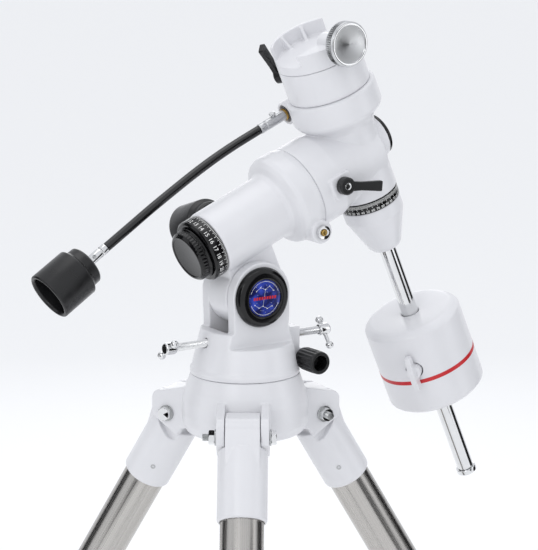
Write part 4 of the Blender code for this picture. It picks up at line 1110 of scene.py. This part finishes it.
def make_dec_casting(grain):
    seam = BODY_SEAM
    body = revolve("dec_body_casting", [
        (0, seam), (46.5, seam), (48, seam - 2), (48, seam - 25.7), (46, seam - 29.2),
        (37, seam - 36.7), (34, seam - 41.7), (33, seam - 52.7), (33, -44), (0, -44)], 144)
    neck = put(revolve("neck", [
        (0, 20), (33, 20), (37, 0), (40, -22), (43, -35), (46.5, -48), (46.5, -77.7),
        (0, -77.7)], 144), (0, 0, 0), (0, 90, 0))
    boss = prism("clutch_boss", arc((-41, 8), 3, 0, 90, 6) + arc((-61, 8), 3, 90, 180, 6)
                 + arc((-61, -10), 3, 180, 270, 6) + arc((-41, -10), 3, 270, 360, 6), 0, 48.4)
    join(body, neck,
         put(cylinder("north_boss", 24, 0, 33.3, 96), (0, 0, 6), (0, 90, 0)),
         put(cylinder("worm_lobe", 12.5, -38, 38), DEC_WORM_POINT, (0, 90, 0)),
         put(boss, (0, 0, 0), (90, 0, 0)))
    cut(body, cylinder("chamber", 34.5, seam - 25.7, seam + 10, 96),
        cylinder("bore", 16.6, -60, 60, 96),
        put(cylinder("polar_bore", 16.3, -88, -41.5), (0, 0, 0), (0, 90, 0)),
        put(cylinder("cap_bore", 18.4, 24, 40), (0, 0, 6), (0, 90, 0)),
        put(cylinder("worm_bore", 9.6, -42, 30), DEC_WORM_POINT, (0, 90, 0)),
        put(cylinder("clutch_bore", 3.4, 38, 60), (-51, 0, -1), (90, 0, 0)))
    piece(cast(body, grain), "dec_body", DEC, "enamel")


def make_dec_circle(width):
    ring = revolve("dec_circle_ring", rounded([
        (32, -44.3), (32.4, -45), (32.4, -55), (32, -55.7), (16.8, -55.7), (16.8, -44.3)],
        0.3, True), 144, True)
    piece(ring, "dec_circle", DEC, "gloss_abs")
    marks = []
    for index in range(180):
        low = -50.6 if index % 5 == 0 else -48.8
        marks.append(tick(32.48, index * 2, low, -45.2, width))
    for index in range(36):
        degrees = abs((index * 10 + 90) % 180 - 90)
        marks += numeral(str(degrees), 3.9, 32.48, index * 10, -54.7)
    piece(flat_shapes("dec_circle_scale", marks), "dec_circle", DEC, "ink",
          False)


def make_front_cap():
    cap = revolve("front_cap_moulding", rounded([
        (0, 38.0), (18.4, 38.0), (19, 38.4), (21.4, 38.2), (22.6, 37), (22.9, 35),
        (22.9, 33.8), (17.8, 33.8), (17.8, 26), (14, 26), (14, 33), (0, 33)], 0.6), 120)
    piece(cap, "front_cap", DEC @ spot((0, 0, 6), (0, 90, 0)), "gloss_abs")


def make_lever(node, at):
    """Clutch lever: dished hub on a cap screw, and a waisted arm with a squared end."""
    hub = revolve(node + "_moulding", [(0, 8.9), (7.6, 8.9), (9.2, 7.6), (9.4, 1), (9.4, 0.5),
                                       (0, 0.5)], 96)
    outline = [(0, -6.4), (8, -5), (18, -4.4), (30, -4.9), (43, -5.5), (43.8, -4.6),
               (43.8, 4.6), (43, 5.5), (30, 4.9), (18, 4.4), (8, 5), (0, 6.4)]
    join(hub, prism(node + "_arm", outline, 2.5, 7.9))
    cut(hub, cylinder("dish", 4.6, 7.2, 12, 48))
    piece(cast(hub, 0.4, 3), node, at, "abs")
    piece(socket_screw(node + "_screw", 3.7, 3, 9.0), node, at, "chrome", False)
    piece(threaded(node + "_thread", 2.9, -5.8, 0.6, 1, 0.5), node, at, "zinc",
          False)


class SaddleOperator(bpy.types.Operator):
    """Make the saddle, its turned base and the clamp knob"""
    bl_idname = "mount.make_saddle"
    bl_label = "Saddle and clamp"

    def execute(self, context):
        base = revolve("saddle_base_turning", rounded([
            (0, 115), (43.5, 115), (44, 114), (44, 80.7), (43.5, 79), (0, 79)], 0.9), 144)
        bore = put(cylinder("bore", 3.4, 30, 60), (0, 0, DEC_CLUTCH_STATION),
                   (-90, 0, DEC_CLUTCH_TURN[2]))
        piece(cut(base, bore), "saddle_base", DEC, "enamel")
        make_saddle_casting(context.scene.mount_looks.casting_grain / MM)
        make_clamp_knob()
        return {"FINISHED"}


def make_saddle_casting(grain):
    top, floor, half, inside = 140.5, 125.0, 20.0, 40.4
    saddle = revolve("saddle_casting", [
        (0, top), (43, top), (44, top - 1), (44, 116), (43.5, 115.3), (0, 115.3)], 144)
    channel = prism("channel", [(-half - 3, 0), (0, 0), (0, 26), (-half, 26), (-half, 12),
                                (-half - 3, 3)], -60, 60)
    turn = Matrix(((0, 0, 1), (1, 0, 0), (0, 1, 0))).to_4x4()
    channel.matrix_world = spot((0, 0, floor)) @ turn
    pocket = prism("pocket", [(60, -1), (60, 24)] + arc((0, 0), inside, 38, 142, 28)
                   + [(-60, 24), (-60, -1)], floor, top + 10)
    cut(saddle, channel, pocket, block("low_jaw", (-60, -60, top - 4), (60, -half + 1, 170)),
        block("channel_slot", (-8, -9, floor - 3), (12, -6.4, floor + 2)))
    ribs = [put(prism("rib", [(inside - 9, floor - 1), (inside + 1, floor - 1),
                              (inside + 1, top - 2), (inside - 1, top - 2)], -1.8, 1.8),
                (0, 0, 0), (90, 0, bearing)) for bearing in (68, 104)]
    join(saddle, put(cylinder("screw_boss", 10, -52, -21), (0, 0, 135), (-90, 0, 0)), *ribs)
    cut(saddle, put(cylinder("clamp_bore", 3.8, -60, 0), (0, 0, 136), (-90, 0, 0)))
    piece(cast(saddle, grain * 0.8, 3), "saddle", SADDLE, "enamel")


def make_clamp_knob():
    """Knurled knob with a bright raised ring round a recessed, spun face."""
    knob = revolve("clamp_knob_rim", rounded([
        (0, 64), (19.2, 64), (19.6, 65.2), (21.4, 65.2), (23.3, 63.6), (23.3, 62.6),
        (23.3, 56.2), (23.3, 55), (22, 53.7), (8, 53.7), (8, 52.7), (3.4, 52.7), (3.4, 48),
        (0, 48)], 0.35), 384, flutes=64, depth=0.9, band=(55.3, 63.2))
    piece(knob, "clamp_knob", CLAMP, "satin")
    face = revolve("clamp_knob_face", [(0, 64.35), (1.2, 64.3), (1.6, 64.15), (19.0, 64.15),
                                       (19.0, 63.6), (0, 63.6)], 192)
    piece(face, "clamp_knob", CLAMP, "spun", False)
    ring = revolve("clamp_knob_ring", rounded([
        (19.1, 64.2), (19.5, 65.3), (21.5, 65.3), (21.9, 64.6), (21.5, 64.2)], 0.2, True),
        192, True)
    piece(ring, "clamp_knob", CLAMP, "chrome", False)
    piece(threaded("clamp_knob_thread", 3.4, 26.3, 53, 1, 0.5), "clamp_knob", CLAMP, "zinc",
          False)


class CounterweightOperator(bpy.types.Operator):
    """Make the counterweight, its stripe and lock, its bar and the end stop"""
    bl_idname = "mount.make_counterweight"
    bl_label = "Counterweight"

    def execute(self, context):
        looks = context.scene.mount_looks
        make_bar()
        make_weight(looks.stripe_width / MM, looks.stripe_station / MM)
        make_lock_knob()
        return {"FINISHED"}


def make_bar():
    bar = revolve("counterweight_bar_rod", rounded([
        (0, -94.8), (9, -94.8), (9, BAR_END + 6.3), (0, BAR_END + 6.3)], 0.5), 96)
    piece(bar, "counterweight_bar", DEC, "chrome")
    stop = revolve("bar_end_stop_turning", rounded([
        (0, BAR_END + 6), (10.6, BAR_END + 6), (10.9, BAR_END + 5), (10.9, BAR_END + 1),
        (10, BAR_END), (8.6, BAR_END), (8.2, BAR_END + 0.8), (4, BAR_END + 0.8),
        (3.2, BAR_END + 2), (0, BAR_END + 2)], 0.4), 96)
    piece(stop, "bar_end_stop", DEC, "chrome")


def make_weight(width, drop):
    top, bottom = -193.0, -293.0
    weight = revolve("counterweight_turning", rounded([
        (44, top), (47, top - 1), (53, top - 6), (53, bottom + 6), (47, bottom + 1),
        (44, bottom), (9.5, bottom), (9.5, top)], 2.4, True), 192, True)
    cut(weight, put(cylinder("lock_bore", 4.4, 5, 60), *LOCK_PLACE),
        put(cylinder("lock_recess", 9.5, 46, 60), *LOCK_PLACE))
    piece(weight, "counterweight", DEC, "enamel")
    middle = top - drop
    stripe = revolve("counterweight_stripe", [
        (53.04, middle + width / 2), (53.12, middle + width / 2 - 0.1),
        (53.12, middle - width / 2 + 0.1), (53.04, middle - width / 2)], 192)
    piece(stripe, "counterweight", DEC, "stripe", False)


def make_lock_knob():
    knob = revolve("counterweight_knob_boss", [
        (0, 61.5), (6, 61.5), (7.8, 60), (8.3, 47), (4, 46.6), (4, 10.5), (0, 10.5)], 96)
    wing = prism("wing", [(-20, 56.5), (-12, 55.5), (17, 55.5), (17.6, 62), (17, 68),
                          (-4, 69.6), (-16, 66.5), (-20, 64)], -3, 3)
    join(knob, put(wing, (0, 0, 0), (90, 0, 0)))
    piece(cast(knob, 0.5, 4), "counterweight_knob", LOCK, "enamel")


class InnerWorksOperator(bpy.types.Operator):
    """Give the enclosed gears, shafts, bushes and pads their metals"""
    bl_idname = "mount.finish_inner_works"
    bl_label = "Inner works"

    def execute(self, context):
        for node, look in INNER_WORKS.items():
            frame["nodes"][node].material_slots[0].material = FINISHES[look]
        return {"FINISHED"}


INNER_WORKS = {
    **dict.fromkeys(("ra_wheel", "dec_wheel", "polar_bush", "dec_bush", "thrust_pad_south",
                     "thrust_pad_north", "azimuth_pad_east", "azimuth_pad_west", "clamp_pad"),
                    "inner_brass"),
    **dict.fromkeys(("polar_shaft", "dec_shaft"), "inner_zinc"),
}


# ---------------------------------------------------------------- panel and running

OPERATORS = (StageOperator, FlexibleShaftsOperator, TripodOperator, ForkOperator,
             PolarAxisOperator, DeclinationOperator, SaddleOperator, CounterweightOperator,
             InnerWorksOperator)


class MountPanel(bpy.types.Panel):
    """The mount's settings and its making, piece by piece"""
    bl_idname = "VIEW3D_PT_equatorial_mount"
    bl_label = "Equatorial mount"
    bl_space_type = "VIEW_3D"
    bl_region_type = "UI"
    bl_category = "Mount"

    def draw(self, context):
        for group in (context.scene.mount_looks, context.scene.mount_stage):
            for setting in group.bl_rna.properties.keys():
                if setting not in ("rna_type", "name"):
                    self.layout.prop(group, setting)
        for operator in OPERATORS:
            self.layout.operator(operator.bl_idname)


CLASSES = (MountLooks, MountStage, *OPERATORS, MountPanel)


def register():
    for kind in CLASSES:
        bpy.utils.register_class(kind)
    bpy.types.Scene.mount_looks = bpy.props.PointerProperty(type=MountLooks)
    bpy.types.Scene.mount_stage = bpy.props.PointerProperty(type=MountStage)


def unregister():
    del bpy.types.Scene.mount_stage
    del bpy.types.Scene.mount_looks
    for kind in reversed(CLASSES):
        bpy.utils.unregister_class(kind)


def main():
    register()
    for obj in list(bpy.data.objects):
        if obj.name in ("Cube", "Light", "Camera"):
            bpy.data.objects.remove(obj, do_unlink=True)
    FINISHES.update(make_finishes(bpy.context.scene.mount_looks))
    for operator in OPERATORS:
        group, action = operator.bl_idname.split(".")
        getattr(getattr(bpy.ops, group), action)()


if __name__ == "__main__":
    main()
